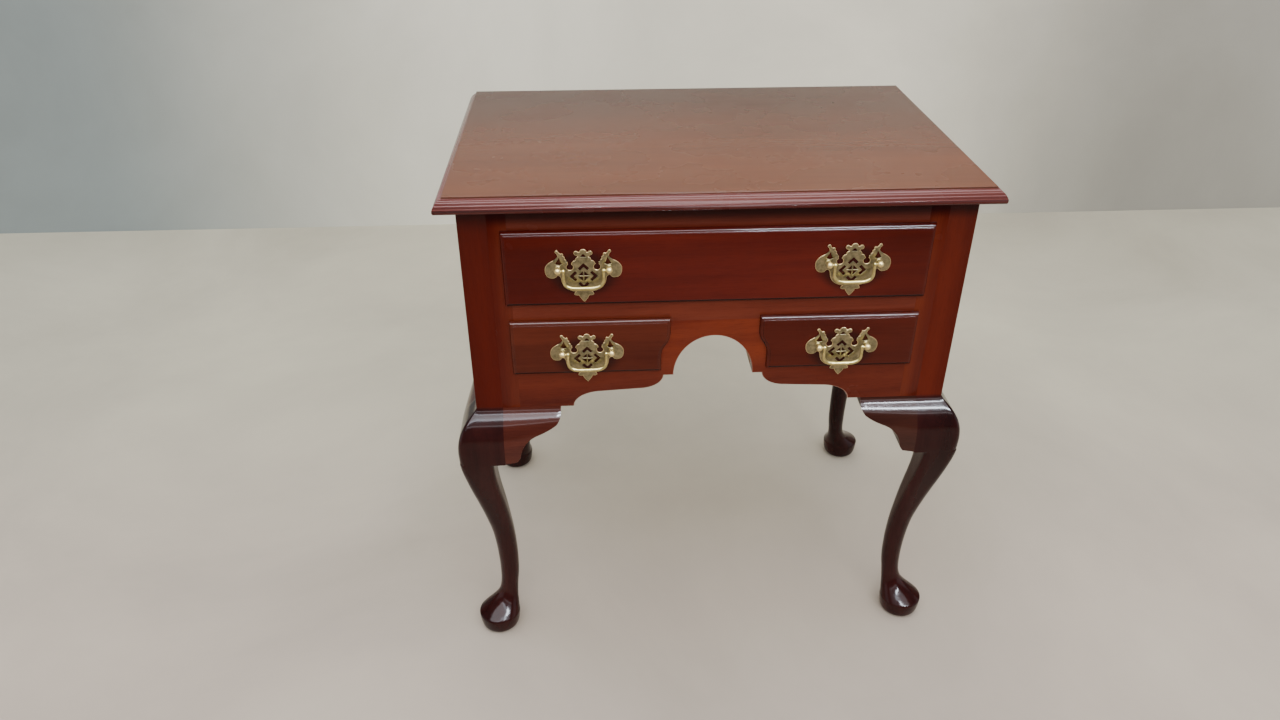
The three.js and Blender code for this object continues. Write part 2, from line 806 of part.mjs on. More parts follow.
const bodyShares = [
  [0.913, -0.334, 0.882, -0.472],
  [0.863, -0.945, 0.315, -1.046],
  [0.38, -1.085, 0.388, -1.175],
  [0.299, -1.235, 0.202, -1.205],
  [0.176, -1.32, 0, -1.505],
];
const crestSlotShares = [[-0.1, 0.44], [0, 0.61, 0.1, 0.44], [0, 0.475, -0.1, 0.44]];
const wingPiercingShares = [[0.93, 0.4], [0.845, 0.14], [1.07, 0.14]];
const diamondCentreShare = -0.375;
const crossBarShare = 0.026;
const diamondShare = 0.185;
const chevronShares = { apex: 0.555, arm: 0.215, width: 0.075 };

function plateOutline() {
  const right = [];
  const follow = (curve) => {
    const steps = Math.max(3, Math.round(curve.getLength() / plateFacetShare));
    right.push(...curve.getPoints(steps).map((p) => [p.x, p.y]));
  };
  const arc = ({ centre, radius, from, to }) => {
    follow(new THREE.EllipseCurve(...centre, radius, radius, from * degree, to * degree, to < from, 0));
  };
  const bend = ([controlX, controlY, endX, endY]) => {
    const start = new THREE.Vector2(...right[right.length - 1]);
    const control = new THREE.Vector2(controlX, controlY);
    follow(new THREE.QuadraticBezierCurve(start, control, new THREE.Vector2(endX, endY)));
  };
  arc(crestShares);
  arc(crestKnobShares);
  right.push(neckShares);
  bend(shoulderShares);
  arc(notchShares);
  right.push(wingEdgeShares[0]);
  bend(wingEdgeShares[1]);
  arc(innerKnobShares);
  arc(tipKnobShares);
  right.push(outerNeckShares);
  for (const curve of [...wingShares, ...bodyShares]) {
    bend(curve);
  }
  const left = right.map(([x, y]) => [-x, y]).reverse();
  return [...right, ...left];
}

function piercings() {
  const holes = [];
  const slot = new THREE.Path();
  slot.moveTo(...crestSlotShares[0]);
  slot.quadraticCurveTo(...crestSlotShares[1]);
  slot.quadraticCurveTo(...crestSlotShares[2]);
  holes.push(slot.getPoints(curveSteps / 2).slice(0, -1).map((p) => [p.x, p.y]));
  for (const signX of [-1, 1]) {
    holes.push(wingPiercingShares.map(([x, y]) => [signX * x, y]));
    for (const signY of [-1, 1]) {
      const corner = [signX * crossBarShare, diamondCentreShare + signY * crossBarShare];
      const acrossTip = [signX * diamondShare, corner[1]];
      const upTip = [corner[0], diamondCentreShare + signY * diamondShare];
      holes.push([corner, acrossTip, upTip]);
    }
  }
  for (let quarter = 0; quarter < 4; quarter += 1) {
    const { apex, arm, width } = chevronShares;
    const band = [[apex, 0], [apex - arm, arm], [apex - arm - width, arm - width], [apex - 2 * width, 0],
      [apex - arm - width, width - arm], [apex - arm, -arm]];
    const turn = quarter * fullTurn / 4;
    holes.push(band.map(([x, y]) => {
      const turnedX = x * Math.cos(turn) - y * Math.sin(turn);
      const turnedY = x * Math.sin(turn) + y * Math.cos(turn);
      return [turnedX, diamondCentreShare + turnedY];
    }));
  }
  return holes;
}

// A pull's frame has its origin midway between the posts, on the face of the drawer front
function backPlate() {
  const unit = postSpacing / 2;
  const scaled = (points) => withoutRepeats(points.map(([x, y]) => [x * unit, y * unit]));
  const through = (points) => alongY(shapeOf(scaled(points)), -plateThickness - cutOverrun, cutOverrun);
  const holes = piercings().map(through);
  for (const signX of [-1, 1]) {
    const postHole = new THREE.CylinderGeometry(bolt, bolt, 2 * (plateThickness + cutOverrun), roundSides);
    postHole.translate(signX * unit, 0, 0);
    holes.push(postHole);
  }
  return cut(alongY(shapeOf(scaled(plateOutline())), -plateThickness, 0), holes);
}

const headY = -plateThickness - headStandoff;

// A post turned in one with its bolt, and the nut inside the drawer; its head is bored for the bail's pin
function pullPost() {
  const insideY = lipProud + plugDepth;
  const profile = [
    [0, insideY + nutThickness + boltTail],
    [boltRadius, insideY + nutThickness + boltTail],
    [boltRadius, insideY + nutThickness],
    [nutRadius, insideY + nutThickness],
    [nutRadius, insideY],
    [boltRadius, insideY],
    [boltRadius, -plateThickness],
    [collarRadius, -plateThickness],
    [collarRadius, -plateThickness - collarThickness],
    [neckRadius, -plateThickness - 2 * collarThickness],
  ];
  const neckAngle = Math.asin(neckRadius / headRadius);
  for (let step = 0; step <= headSteps; step += 1) {
    const angle = neckAngle + step / headSteps * (fullTurn / 2 - neckAngle);
    const radius = step === headSteps ? 0 : headRadius * Math.sin(angle);
    profile.push([radius, headY + headRadius * Math.cos(angle)]);
  }
  const turned = new THREE.LatheGeometry(profile.map(([r, y]) => new THREE.Vector2(r, -y)), roundSides);
  turned.applyMatrix4(new THREE.Matrix4().makeScale(1, -1, -1));
  const boreRadius = bailPinRadius + bailPinGap;
  const bore = new THREE.CylinderGeometry(boreRadius, boreRadius, headRadius + cutOverrun, bailSides);
  bore.rotateZ(fullTurn / 4);
  bore.translate(-(headRadius + cutOverrun) / 2, headY, 0);
  return cut(turned, [bore]);
}

// The swinging bail: a bar that thickens towards the grip, with a knuckle and a pin at each end
function bail() {
  const path = new THREE.CurvePath();
  const shoulder = bailDrop / 2;
  const gripX = bailHalfWidth / 3;
  const top = new THREE.Vector3(bailHalfWidth, headY, 0);
  const bend = new THREE.Vector3(bailHalfWidth, headY, -shoulder);
  const corner = new THREE.Vector3(bailHalfWidth, headY, -bailDrop);
  const grip = new THREE.Vector3(gripX, headY, -bailDrop);
  const flipped = (p) => new THREE.Vector3(-p.x, p.y, p.z);
  path.add(new THREE.LineCurve3(top, bend));
  path.add(new THREE.QuadraticBezierCurve3(bend, corner, grip));
  path.add(new THREE.LineCurve3(grip, flipped(grip)));
  path.add(new THREE.QuadraticBezierCurve3(flipped(grip), flipped(corner), flipped(bend)));
  path.add(new THREE.LineCurve3(flipped(bend), flipped(top)));
  const rings = [];
  for (let step = 0; step <= bailSteps; step += 1) {
    const centre = path.getPointAt(step / bailSteps);
    const tangent = path.getTangentAt(step / bailSteps);
    const fullness = Math.min(1, Math.max(0, -centre.z / bailDrop)) ** 2;
    const radius = bailArmRadius + (bailGripRadius - bailArmRadius) * fullness;
    const outward = new THREE.Vector3(-tangent.z, 0, tangent.x);
    const forward = new THREE.Vector3(0, -1, 0);
    const ring = [];
    for (let side = 0; side < bailSides; side += 1) {
      const angle = side / bailSides * fullTurn;
      const spoke = outward.clone().multiplyScalar(radius * Math.cos(angle));
      spoke.addScaledVector(forward, radius * Math.sin(angle));
      ring.push(centre.clone().add(spoke));
    }
    rings.push(ring);
  }
  const pieces = [loft(rings)];
  const pinEnd = postSpacing / 2 - headRadius + bailPinEngagement;
  for (const signX of [-1, 1]) {
    const knuckle = new THREE.SphereGeometry(bailKnuckleRadius, bailSides, headSteps);
    knuckle.translate(signX * bailHalfWidth, headY, 0);
    const pin = new THREE.CylinderGeometry(bailPinRadius, bailPinRadius, pinEnd - bailHalfWidth, bailSides);
    pin.rotateZ(fullTurn / 4);
    pin.translate(signX * (pinEnd + bailHalfWidth) / 2, headY, 0);
    pieces.push(knuckle, pin);
  }
  return join(pieces);
}

const plate = backPlate();
const rightPost = pullPost();
const leftPost = mirrored(rightPost, -1, 1);
const pullBail = bail();

function addPull(parent, name, x, z) {
  const pull = new THREE.Group();
  pull.position.set(x, -lipProud, z);
  place(pull, `${name}_plate`, plate, brass);
  place(pull, `${name}_bail`, pullBail, brass);
  for (const [sideName, signX, post] of [['left', -1, leftPost], ['right', 1, rightPost]]) {
    const mount = new THREE.Group();
    mount.position.set(signX * postSpacing / 2, 0, 0);
    place(mount, `${name}_post_${sideName}`, post, brass);
    pull.add(mount);
  }
  parent.add(pull);
}

function addDrawer(name, x, z, pieces, pulls) {
  const drawer = new THREE.Group();
  drawer.position.set(x, frontY, z);
  for (const [pieceName, [geometry, material]] of Object.entries(pieces)) {
    place(drawer, `${name}_${pieceName}`, geometry, material);
  }
  for (const [pullName, pullX, pullZ] of pulls) {
    addPull(drawer, pullName, pullX, pullZ);
  }
  group.add(drawer);
}

// The wide drawer under the top rail
const topLip = [
  [-openingX - wideLipOverlap, -lipOverlap],
  [openingX + wideLipOverlap, -lipOverlap],
  [openingX + wideLipOverlap, topOpeningHeight + lipOverlap],
  [-openingX - wideLipOverlap, topOpeningHeight + lipOverlap],
];
const topPullZ = topOpeningHeight / 2 + topPullRise;
const topPulls = [-topPullX, topPullX].map((x) => [x, topPullZ]);
const topPieces = drawerPieces(2 * openingX, topOpeningHeight, topLip, topPulls);
addDrawer('top_drawer', 0, topOpeningZ, topPieces, [
  ['top_left_pull', ...topPulls[0]],
  ['top_right_pull', ...topPulls[1]],
]);

// The lower drawers: the lip's inner edge follows the arch in a slow S
function lowerLip(halfWidth, sign) {
  const top = lowerOpeningHeight + lipOverlap;
  const wideX = -halfWidth - innerLipReach;
  const narrowX = -halfWidth - innerLipFoot;
  const middleX = (wideX + narrowX) / 2;
  const curveTop = top - curveDrop;
  const middle = curveTop - curveHeight / 2;
  const edge = new THREE.Path();
  edge.moveTo(wideX, top);
  edge.lineTo(wideX, curveTop);
  edge.quadraticCurveTo(wideX, (curveTop + middle) / 2, middleX, middle);
  edge.quadraticCurveTo(narrowX, (middle + curveTop - curveHeight) / 2, narrowX, curveTop - curveHeight);
  edge.lineTo(narrowX, -lipOverlap);
  const inner = edge.getPoints(curveSteps).map((p) => [p.x, p.y]);
  const outer = [[halfWidth + lipOverlap, -lipOverlap], [halfWidth + lipOverlap, top]];
  const outline = [...inner, ...outer];
  return sign > 0 ? outline : outline.map(([x, z]) => [-x, z]).reverse();
}

const lowerWidth = openingX - webX;
const lowerPullZ = lowerOpeningHeight / 2 - lowerPullDrop;
for (const [sideName, signX] of [['left', -1], ['right', 1]]) {
  const spot = [-signX * lowerPullInset, lowerPullZ];
  const pieces = drawerPieces(lowerWidth, lowerOpeningHeight, lowerLip(lowerWidth / 2, signX), [spot]);
  addDrawer(`lower_${sideName}_drawer`, signX * lowerX, lowerOpeningZ, pieces, [
    [`lower_${sideName}_pull`, ...spot],
  ]);
}

export default group;
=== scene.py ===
import math

import bmesh
import bpy
from mathutils import Matrix, Vector


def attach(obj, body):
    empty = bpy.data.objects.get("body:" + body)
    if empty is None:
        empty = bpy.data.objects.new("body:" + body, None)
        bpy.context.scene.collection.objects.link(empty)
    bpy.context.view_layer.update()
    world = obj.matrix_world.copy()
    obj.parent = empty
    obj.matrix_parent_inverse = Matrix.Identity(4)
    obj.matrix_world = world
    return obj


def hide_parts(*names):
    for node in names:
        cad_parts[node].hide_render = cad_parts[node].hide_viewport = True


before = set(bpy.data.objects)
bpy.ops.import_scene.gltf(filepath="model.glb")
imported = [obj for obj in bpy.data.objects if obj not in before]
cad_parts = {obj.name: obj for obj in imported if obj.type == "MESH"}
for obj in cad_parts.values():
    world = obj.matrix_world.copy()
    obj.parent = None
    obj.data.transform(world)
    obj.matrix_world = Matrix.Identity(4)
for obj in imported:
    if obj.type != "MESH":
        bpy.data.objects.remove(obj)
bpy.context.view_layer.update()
mm = 0.001

# The camera stands to the left of the middle, above the top, and looks down at the front.
camera_data = bpy.data.cameras.new("camera")
camera_data.lens = 26.556
camera_data.sensor_width = 36.0
camera = bpy.data.objects.new("camera", camera_data)
camera.location = (-0.1524, -1.2708, 1.1331)
camera.rotation_euler = (math.pi / 2 - 0.5529, 0.0, -0.0513)
bpy.context.scene.collection.objects.link(camera)
bpy.context.scene.camera = camera


# The four cabriole legs are each one length of dark mahogany with the corner post above, sawn to the
# same curve on two faces, then rounded by spokeshave from a crisp knee to a round ankle and pad foot.
# Each row gives a height, the outer and the inner face measured from the case's corner, and how round
# the outer corner and the other three are, all for the right rear corner.
CASE_HALF_WIDTH = 319.5 * mm
CASE_HALF_DEPTH = 209.0 * mm
CASE_BOTTOM = 407.0 * mm
CASE_TOP = 697.0 * mm
leg_stations = [
    (0.0, 20.6, -25.4, 1.0, 1.0),
    (0.8, 23.2, -28.0, 1.0, 1.0),
    (2.6, 25.0, -29.8, 1.0, 1.0),
    (6.0, 26.6, -31.4, 1.0, 1.0),
    (12.0, 27.8, -32.6, 1.0, 1.0),
    (19.0, 28.6, -33.4, 1.0, 1.0),
    (24.2, 28.9, -33.7, 1.0, 1.0),
    (25.4, 28.8, -33.6, 1.0, 1.0),
    (26.4, 28.4, -33.4, 1.0, 1.0),
    (27.3, 27.4, -33.2, 1.0, 1.0),
    (28.4, 25.9, -33.0, 1.0, 1.0),
    (31.2, 22.2, -32.8, 1.0, 1.0),
    (34.6, 17.4, -32.5, 1.0, 1.0),
    (38.2, 12.4, -32.2, 1.0, 1.0),
    (41.8, 7.8, -31.9, 1.0, 1.0),
    (45.4, 3.8, -31.7, 1.0, 1.0),
    (49.4, 0.2, -31.7, 1.0, 1.0),
    (54.0, -2.6, -31.9, 1.0, 1.0),
    (60.0, -4.8, -32.3, 1.0, 1.0),
    (70.0, -6.6, -33.2, 1.0, 1.0),
    (83.8, -7.4, -34.9, 1.0, 1.0),
    (101.8, -7.4, -36.0, 1.0, 1.0),
    (126.2, -6.6, -36.2, 0.97, 0.98),
    (150.6, -5.0, -35.5, 0.93, 0.95),
    (175.0, -2.5, -34.0, 0.87, 0.9),
    (199.4, 1.7, -31.7, 0.79, 0.82),
    (223.9, 6.6, -29.0, 0.7, 0.72),
    (248.3, 12.0, -25.8, 0.62, 0.62),
    (272.7, 17.6, -22.3, 0.54, 0.52),
    (299.1, 23.0, -19.6, 0.44, 0.42),
    (318.0, 26.3, -18.8, 0.37, 0.36),
    (326.0, 27.3, -19.2, 0.35, 0.34),
    (329.6, 27.6, -20.6, 0.34, 0.32),
    (330.1, 27.7, -35.7, 0.34, 0.004),
    (338.0, 28.0, -36.0, 0.31, 0.004),
    (346.0, 28.0, -36.0, 0.28, 0.004),
    (355.0, 27.6, -36.0, 0.26, 0.004),
    (362.0, 26.7, -36.0, 0.24, 0.004),
    (369.0, 25.2, -36.0, 0.22, 0.004),
    (376.0, 22.9, -36.0, 0.2, 0.004),
    (382.0, 19.9, -36.0, 0.18, 0.004),
    (388.0, 16.0, -36.0, 0.16, 0.004),
    (393.0, 11.8, -36.0, 0.15, 0.004),
    (397.0, 7.9, -36.0, 0.13, 0.004),
    (400.5, 4.4, -36.0, 0.11, 0.004),
    (403.5, 1.9, -36.0, 0.1, 0.004),
    (406.0, 0.4, -36.0, 0.085, 0.004),
    (407.0, 0.0, -36.0, 0.083, 0.004),
    (697.0, 0.0, -36.0, 0.083, 0.004),
]
LEG_SIDES = 48
CREASES = (24.2, 28.4, 329.6, 330.1, 407.0)


def smooth_between(rows, creases, steps):
    """Rows with more in between, on a curve through them that stays straight at the heights that crease."""
    slopes = []
    for i in range(len(rows)):
        if i in (0, len(rows) - 1) or rows[i][0] in creases:
            slopes.append(None)
            continue
        before, here, after = rows[i - 1], rows[i], rows[i + 1]
        slope = []
        for k in range(1, len(here)):
            d0 = (here[k] - before[k]) / (here[0] - before[0])
            d1 = (after[k] - here[k]) / (after[0] - here[0])
            slope.append(0.0 if d0 * d1 <= 0 else 2 * d0 * d1 / (d0 + d1))
        slopes.append(slope)
    out = []
    for i in range(len(rows) - 1):
        lower, upper = rows[i], rows[i + 1]
        span = upper[0] - lower[0]
        chord = [(b - a) / span for a, b in zip(lower[1:], upper[1:])]
        s0 = slopes[i] or chord
        s1 = slopes[i + 1] or chord
        count = steps if 3.0 < span < 40.0 else 1
        for step in range(count):
            t = step / count
            h00, h10 = 2 * t**3 - 3 * t**2 + 1, t**3 - 2 * t**2 + t
            h01, h11 = 3 * t**2 - 2 * t**3, t**3 - t**2
            row = [lower[0] + t * span]
            for k in range(len(chord)):
                value = h00 * lower[k + 1] + h01 * upper[k + 1]
                row.append(value + span * (h10 * s0[k] + h11 * s1[k]))
            out.append(tuple(row))
    out.append(rows[-1])
    return out


def rounded_square(angle, inner, outer, outer_round, other_round):
    """Where a ray from the middle at this angle meets a square with its own roundness at each corner."""
    half = (outer - inner) / 2
    middle = (outer + inner) / 2
    corner = int((angle % (2 * math.pi)) // (math.pi / 2))
    radius = half * (outer_round if corner == 0 else other_round)
    reach = angle % (math.pi / 2) / (math.pi / 2) - 0.5
    flat = half - radius
    arc = radius * math.pi / 4
    share = arc / (flat + arc)
    crowd = max(share, 0.42)
    if abs(reach) < crowd / 2:
        reach *= share / crowd
    else:
        reach = math.copysign(0.5 - (0.5 - abs(reach)) * (1 - share) / (1 - crowd), reach)
    along = (reach + 0.5) * 2 * (flat + arc)
    if along < flat:
        x, y = half, along
    elif along > flat + 2 * arc:
        x, y = 2 * (flat + arc) - along, half
    else:
        turn = (along - flat) / max(radius, 1e-9)
        x, y = flat + radius * math.cos(turn), flat + radius * math.sin(turn)
    for _ in range(corner):
        x, y = -y, x
    return middle + x, middle + y


def leg_mesh():
    bm = bmesh.new()
    rings = []
    for z, outer, inner, outer_round, other_round in smooth_between(leg_stations, CREASES, 3):
        ring = bmesh.ops.create_circle(bm, cap_ends=False, radius=1.0, segments=LEG_SIDES)["verts"]
        for i, v in enumerate(ring):
            turn = 2 * math.pi * (i + 0.5) / LEG_SIDES
            x, y = rounded_square(turn, inner, outer, outer_round, other_round)
            v.co = (CASE_HALF_WIDTH + x * mm, CASE_HALF_DEPTH + y * mm, z * mm)
        rings.append(ring)
    for lower, upper in zip(rings, rings[1:]):
        edges = []
        for ring in (lower, upper):
            members = set(ring)
            edges += [e for v in ring for e in v.link_edges if e.other_vert(v) in members]
        bmesh.ops.bridge_loops(bm, edges=list(dict.fromkeys(edges)))
    for ring in (rings[0], rings[-1]):
        bmesh.ops.contextual_create(bm, geom=ring)
    return bm


def finished(bm, name, body, material, replaced=(), smooth=32.0):
    """Turns a bmesh into a piece: faces out, smooth but for its arrises, riding on its body."""
    bmesh.ops.remove_doubles(bm, verts=bm.verts, dist=1e-6)
    bmesh.ops.recalc_face_normals(bm, faces=bm.faces)
    for face in bm.faces:
        face.smooth = True
    for edge in bm.edges:
        if len(edge.link_faces) == 2:
            edge.smooth = edge.calc_face_angle(0.0) < math.radians(smooth)
    mesh = bpy.data.meshes.new(name)
    bm.to_mesh(mesh)
    bm.free()
    mesh.materials.append(material)
    piece = bpy.data.objects.new(name, mesh)
    bpy.context.scene.collection.objects.link(piece)
    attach(piece, body)
    if replaced:
        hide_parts(*replaced)
    return piece


def mark(bm, layer_name, chosen):
    """Marks faces, each as strongly as chosen says, in a layer that a material reads."""
    layer = bm.faces.layers.float.new(layer_name)
    for face in bm.faces:
        face[layer] = chosen(face)


def break_arrises(bm, edges, ease, wear):
    """Rounds edges off, and marks what is left of them as worn."""
    layer = bm.faces.layers.float.new("wear")
    worn = bmesh.ops.bevel(
        bm, geom=edges, offset=ease, segments=2, affect="EDGES", profile=0.5, material=-1, clamp_overlap=True
    )
    for face in worn["faces"]:
        face[layer] = wear


def node(tree, kind, values=None, **settings):
    made = tree.nodes.new("ShaderNode" + kind)
    for key, value in settings.items():
        setattr(made, key, value)
    for key, value in (values or {}).items():
        made.inputs[key].default_value = value
    return made


def ramp(tree, source, stops):
    made = node(tree, "ValToRGB")
    made.color_ramp.elements.remove(made.color_ramp.elements[1])
    for i, (place, colour) in enumerate(stops):
        element = made.color_ramp.elements[0] if i == 0 else made.color_ramp.elements.new(place)
        element.position = place
        element.color = (*colour, 1.0)
    tree.links.new(source, made.inputs["Fac"])
    return made


def mahogany(
    name, along, pith, dark, light, tilt=(0.0, 0.0, 0.0), roughness=0.22, coat=0.15, buffed=0.7,
    glaze=0.09, ripple=0.0, figure=1.0, zones=(), grime_and_shadow_spots=()
):
    """Stained and polished mahogany, its grain along one axis and the heart of the tree off at pith.

    A zone is an axis, where on it other colours start and are full, and those two colours; some zones are
    stains, and some are painted shade or sheen. Faces marked as polished have the buffed coat. About each
    spot the colour darkens, partly old polish and partly painted shadow, and faces marked by the attribute
    read below are painted near black as shade."""
    material = bpy.data.materials.new(name)
    material.use_nodes = True
    tree = material.node_tree
    link = tree.links.new
    shader = tree.nodes["Principled BSDF"]
    place = node(tree, "TexCoord")
    turned = node(tree, "Mapping", {"Location": pith, "Rotation": tilt})
    link(place.outputs["Object"], turned.inputs["Vector"])

    def drawn_out(across, lengthwise, detail, rough):
        stretch = [across] * 3
        stretch["XYZ".index(along)] = lengthwise
        mapping = node(tree, "Mapping", {"Scale": stretch})
        link(turned.outputs["Vector"], mapping.inputs["Vector"])
        noise = node(tree, "TexNoise", {"Scale": 1.0, "Detail": detail, "Roughness": rough})
        noise.inputs["Distortion"].default_value = 0.3
        link(mapping.outputs["Vector"], noise.inputs["Vector"])
        return noise

    clouds = drawn_out(11.0, 1.7, 3.0, 0.5)
    streaks = drawn_out(95.0, 3.2, 4.0, 0.6)
    fibres = drawn_out(480.0, 12.0, 2.0, 0.6)
    pores = drawn_out(1300.0, 60.0, 1.0, 0.5)
    drift = node(tree, "VectorMath", {1: (0.05, 0.05, 0.05)}, operation="MULTIPLY")
    link(clouds.outputs["Color"], drift.inputs[0])
    bent = node(tree, "VectorMath", operation="ADD")
    link(turned.outputs["Vector"], bent.inputs[0])
    link(drift.outputs["Vector"], bent.inputs[1])
    rings = node(
        tree,
        "TexWave",
        {"Scale": 9.0, "Distortion": 2.2, "Detail": 3.0, "Detail Scale": 1.6, "Detail Roughness": 0.65},
        wave_type="RINGS",
        rings_direction=along,
        wave_profile="SIN",
    )
    link(bent.outputs["Vector"], rings.inputs["Vector"])
    pits = node(tree, "MapRange", {"From Min": 0.34, "From Max": 0.43, "To Min": 0.0, "To Max": 1.0})
    link(pores.outputs["Fac"], pits.inputs["Value"])
    total = None
    for source, weight in ((clouds, 0.6), (rings, 0.07 * figure), (streaks, 0.26), (fibres, 0.14)):
        scaled = node(tree, "Math", {1: weight}, operation="MULTIPLY")
        link(source.outputs["Fac"], scaled.inputs[0])
        if total is None:
            total = scaled
            continue
        added = node(tree, "Math", operation="ADD")
        link(total.outputs[0], added.inputs[0])
        link(scaled.outputs[0], added.inputs[1])
        total = added
    middle = tuple((a + b) / 2 for a, b in zip(dark, light))
    colour = ramp(tree, total.outputs[0], [(0.38, dark), (0.53, middle), (0.68, light)]).outputs["Color"]
    spot = node(tree, "SeparateXYZ")
    link(place.outputs["Object"], spot.inputs[0])
    for axis, start, full, zone_dark, zone_light in zones:
        other = ramp(tree, total.outputs[0], [(0.38, zone_dark), (0.68, zone_light)])
        reach = node(tree, "MapRange", {"From Min": start, "From Max": full}, interpolation_type="SMOOTHSTEP")
        link(spot.outputs[axis], reach.inputs["Value"])
        blend = node(tree, "Mix", data_type="RGBA")
        link(reach.outputs["Result"], blend.inputs["Factor"])
        link(colour, blend.inputs["A"])
        link(other.outputs["Color"], blend.inputs["B"])
        colour = blend.outputs["Result"]
    # Partly painted shadow, partly old polish: the colour darkens to near black in a soft oval about each
    # spot, where the pull's plate shades the wood.
    for x, z in grime_and_shadow_spots:
        across, up = 46 * mm, 32 * mm
        spread = node(tree, "Mapping", {"Scale": (1 / across, 0.0, 1 / up)})
        spread.inputs["Location"].default_value = (-x * mm / across, 0.0, -z * mm / up)
        link(place.outputs["Object"], spread.inputs["Vector"])
        away = node(tree, "VectorMath", operation="LENGTH")
        link(spread.outputs["Vector"], away.inputs[0])
        grime_and_shade = node(tree, "MapRange", {"From Min": 1.1, "From Max": 0.7, "To Max": 0.68})
        grime_and_shade.interpolation_type = "SMOOTHSTEP"
        link(away.outputs["Value"], grime_and_shade.inputs["Value"])
        blend = node(tree, "Mix", {"B": (0.012, 0.0018, 0.001, 1.0)}, data_type="RGBA")
        link(grime_and_shade.outputs["Result"], blend.inputs["Factor"])
        link(colour, blend.inputs["A"])
        colour = blend.outputs["Result"]
    # Painted shade: the faces marked by the attribute read here, the undersides of the drawer lips, are
    # painted near black.
    painted_underside_shade = node(tree, "Attribute", attribute_name="grime_and_shade")
    blend = node(tree, "Mix", {"B": (0.012, 0.0018, 0.001, 1.0)}, data_type="RGBA")
    link(painted_underside_shade.outputs["Fac"], blend.inputs["Factor"])
    link(colour, blend.inputs["A"])
    colour = blend.outputs["Result"]
    stained = node(tree, "Mix", {"Factor": 0.2 * figure}, data_type="RGBA", blend_type="MULTIPLY")
    shade = ramp(tree, pits.outputs["Result"], [(0.0, (0.4, 0.35, 0.35)), (1.0, (1.0, 1.0, 1.0))])
    link(colour, stained.inputs["A"])
    link(shade.outputs["Color"], stained.inputs["B"])
    handled = node(tree, "TexNoise", {"Scale": 11.0, "Detail": 3.0, "Roughness": 0.6})
    link(place.outputs["Object"], handled.inputs["Vector"])
    arris = node(tree, "Attribute", attribute_name="wear")
    rubbed = node(tree, "MapRange", {"From Min": 0.35, "From Max": 0.6, "To Min": 0.25, "To Max": 0.8})
    link(handled.outputs["Fac"], rubbed.inputs["Value"])
    bare = node(tree, "Math", operation="MULTIPLY")
    link(arris.outputs["Fac"], bare.inputs[0])
    link(rubbed.outputs["Result"], bare.inputs[1])
    worn = node(tree, "Mix", {"B": (0.45, 0.27, 0.19, 1.0)}, data_type="RGBA")
    link(bare.outputs[0], worn.inputs["Factor"])
    link(stained.outputs["Result"], worn.inputs["A"])
    link(worn.outputs["Result"], shader.inputs["Base Color"])
    gloss = node(tree, "MapRange", {"From Min": 0.3, "From Max": 0.7})
    gloss.inputs["To Min"].default_value = roughness - 0.04
    gloss.inputs["To Max"].default_value = roughness + 0.06
    link(handled.outputs["Fac"], gloss.inputs["Value"])
    link(gloss.outputs["Result"], shader.inputs["Roughness"])
    shader.inputs["Specular IOR Level"].default_value = 0.08
    polished = node(tree, "Attribute", attribute_name="polish")
    lustre = node(tree, "MapRange", {"To Min": coat, "To Max": buffed})
    link(polished.outputs["Fac"], lustre.inputs["Value"])
    link(lustre.outputs["Result"], shader.inputs["Coat Weight"])
    shader.inputs["Coat Roughness"].default_value = glaze
    dents = node(tree, "Bump", {"Strength": 0.05, "Distance": 0.0002})
    link(pits.outputs["Result"], dents.inputs["Height"])
    waves = node(tree, "Bump", {"Strength": 0.08, "Distance": 0.0012})
    link(handled.outputs["Fac"], waves.inputs["Height"])
    link(dents.outputs["Normal"], waves.inputs["Normal"])
    carved = node(tree, "TexNoise", {"Scale": 55.0, "Detail": 2.0})
    link(place.outputs["Object"], carved.inputs["Vector"])
    facets = node(tree, "Bump", {"Strength": ripple, "Distance": 0.0012})
    link(carved.outputs["Fac"], facets.inputs["Height"])
    link(waves.outputs["Normal"], facets.inputs["Normal"])
    link(facets.outputs["Normal"], shader.inputs["Normal"])
    return material


def leg_polish(face):
    """Buffed on the knee, where it looks up, and duller on the shank and the foot; none on the post."""
    height = face.calc_center_median().z
    if height > CASE_BOTTOM:
        return 0.0
    return 0.3 if height < 60 * mm else max(0.3, min(1.0, 0.45 + 1.6 * face.normal.z))


LEG_DARK = (0.011, 0.0012, 0.0012)
LEG_LIGHT = (0.036, 0.0055, 0.0045)
# The right posts, and the right ends of the stiles, are coloured lighter than the left.
post_colours = {
    "left": ((0.048, 0.0025, 0.0006), (0.091, 0.0065, 0.0015)),
    "right": ((0.066, 0.0047, 0.0014), (0.116, 0.012, 0.0035)),
}
corners = {
    "front_left": (-1, -1),
    "front_right": (1, -1),
    "rear_left": (-1, 1),
    "rear_right": (1, 1),
}
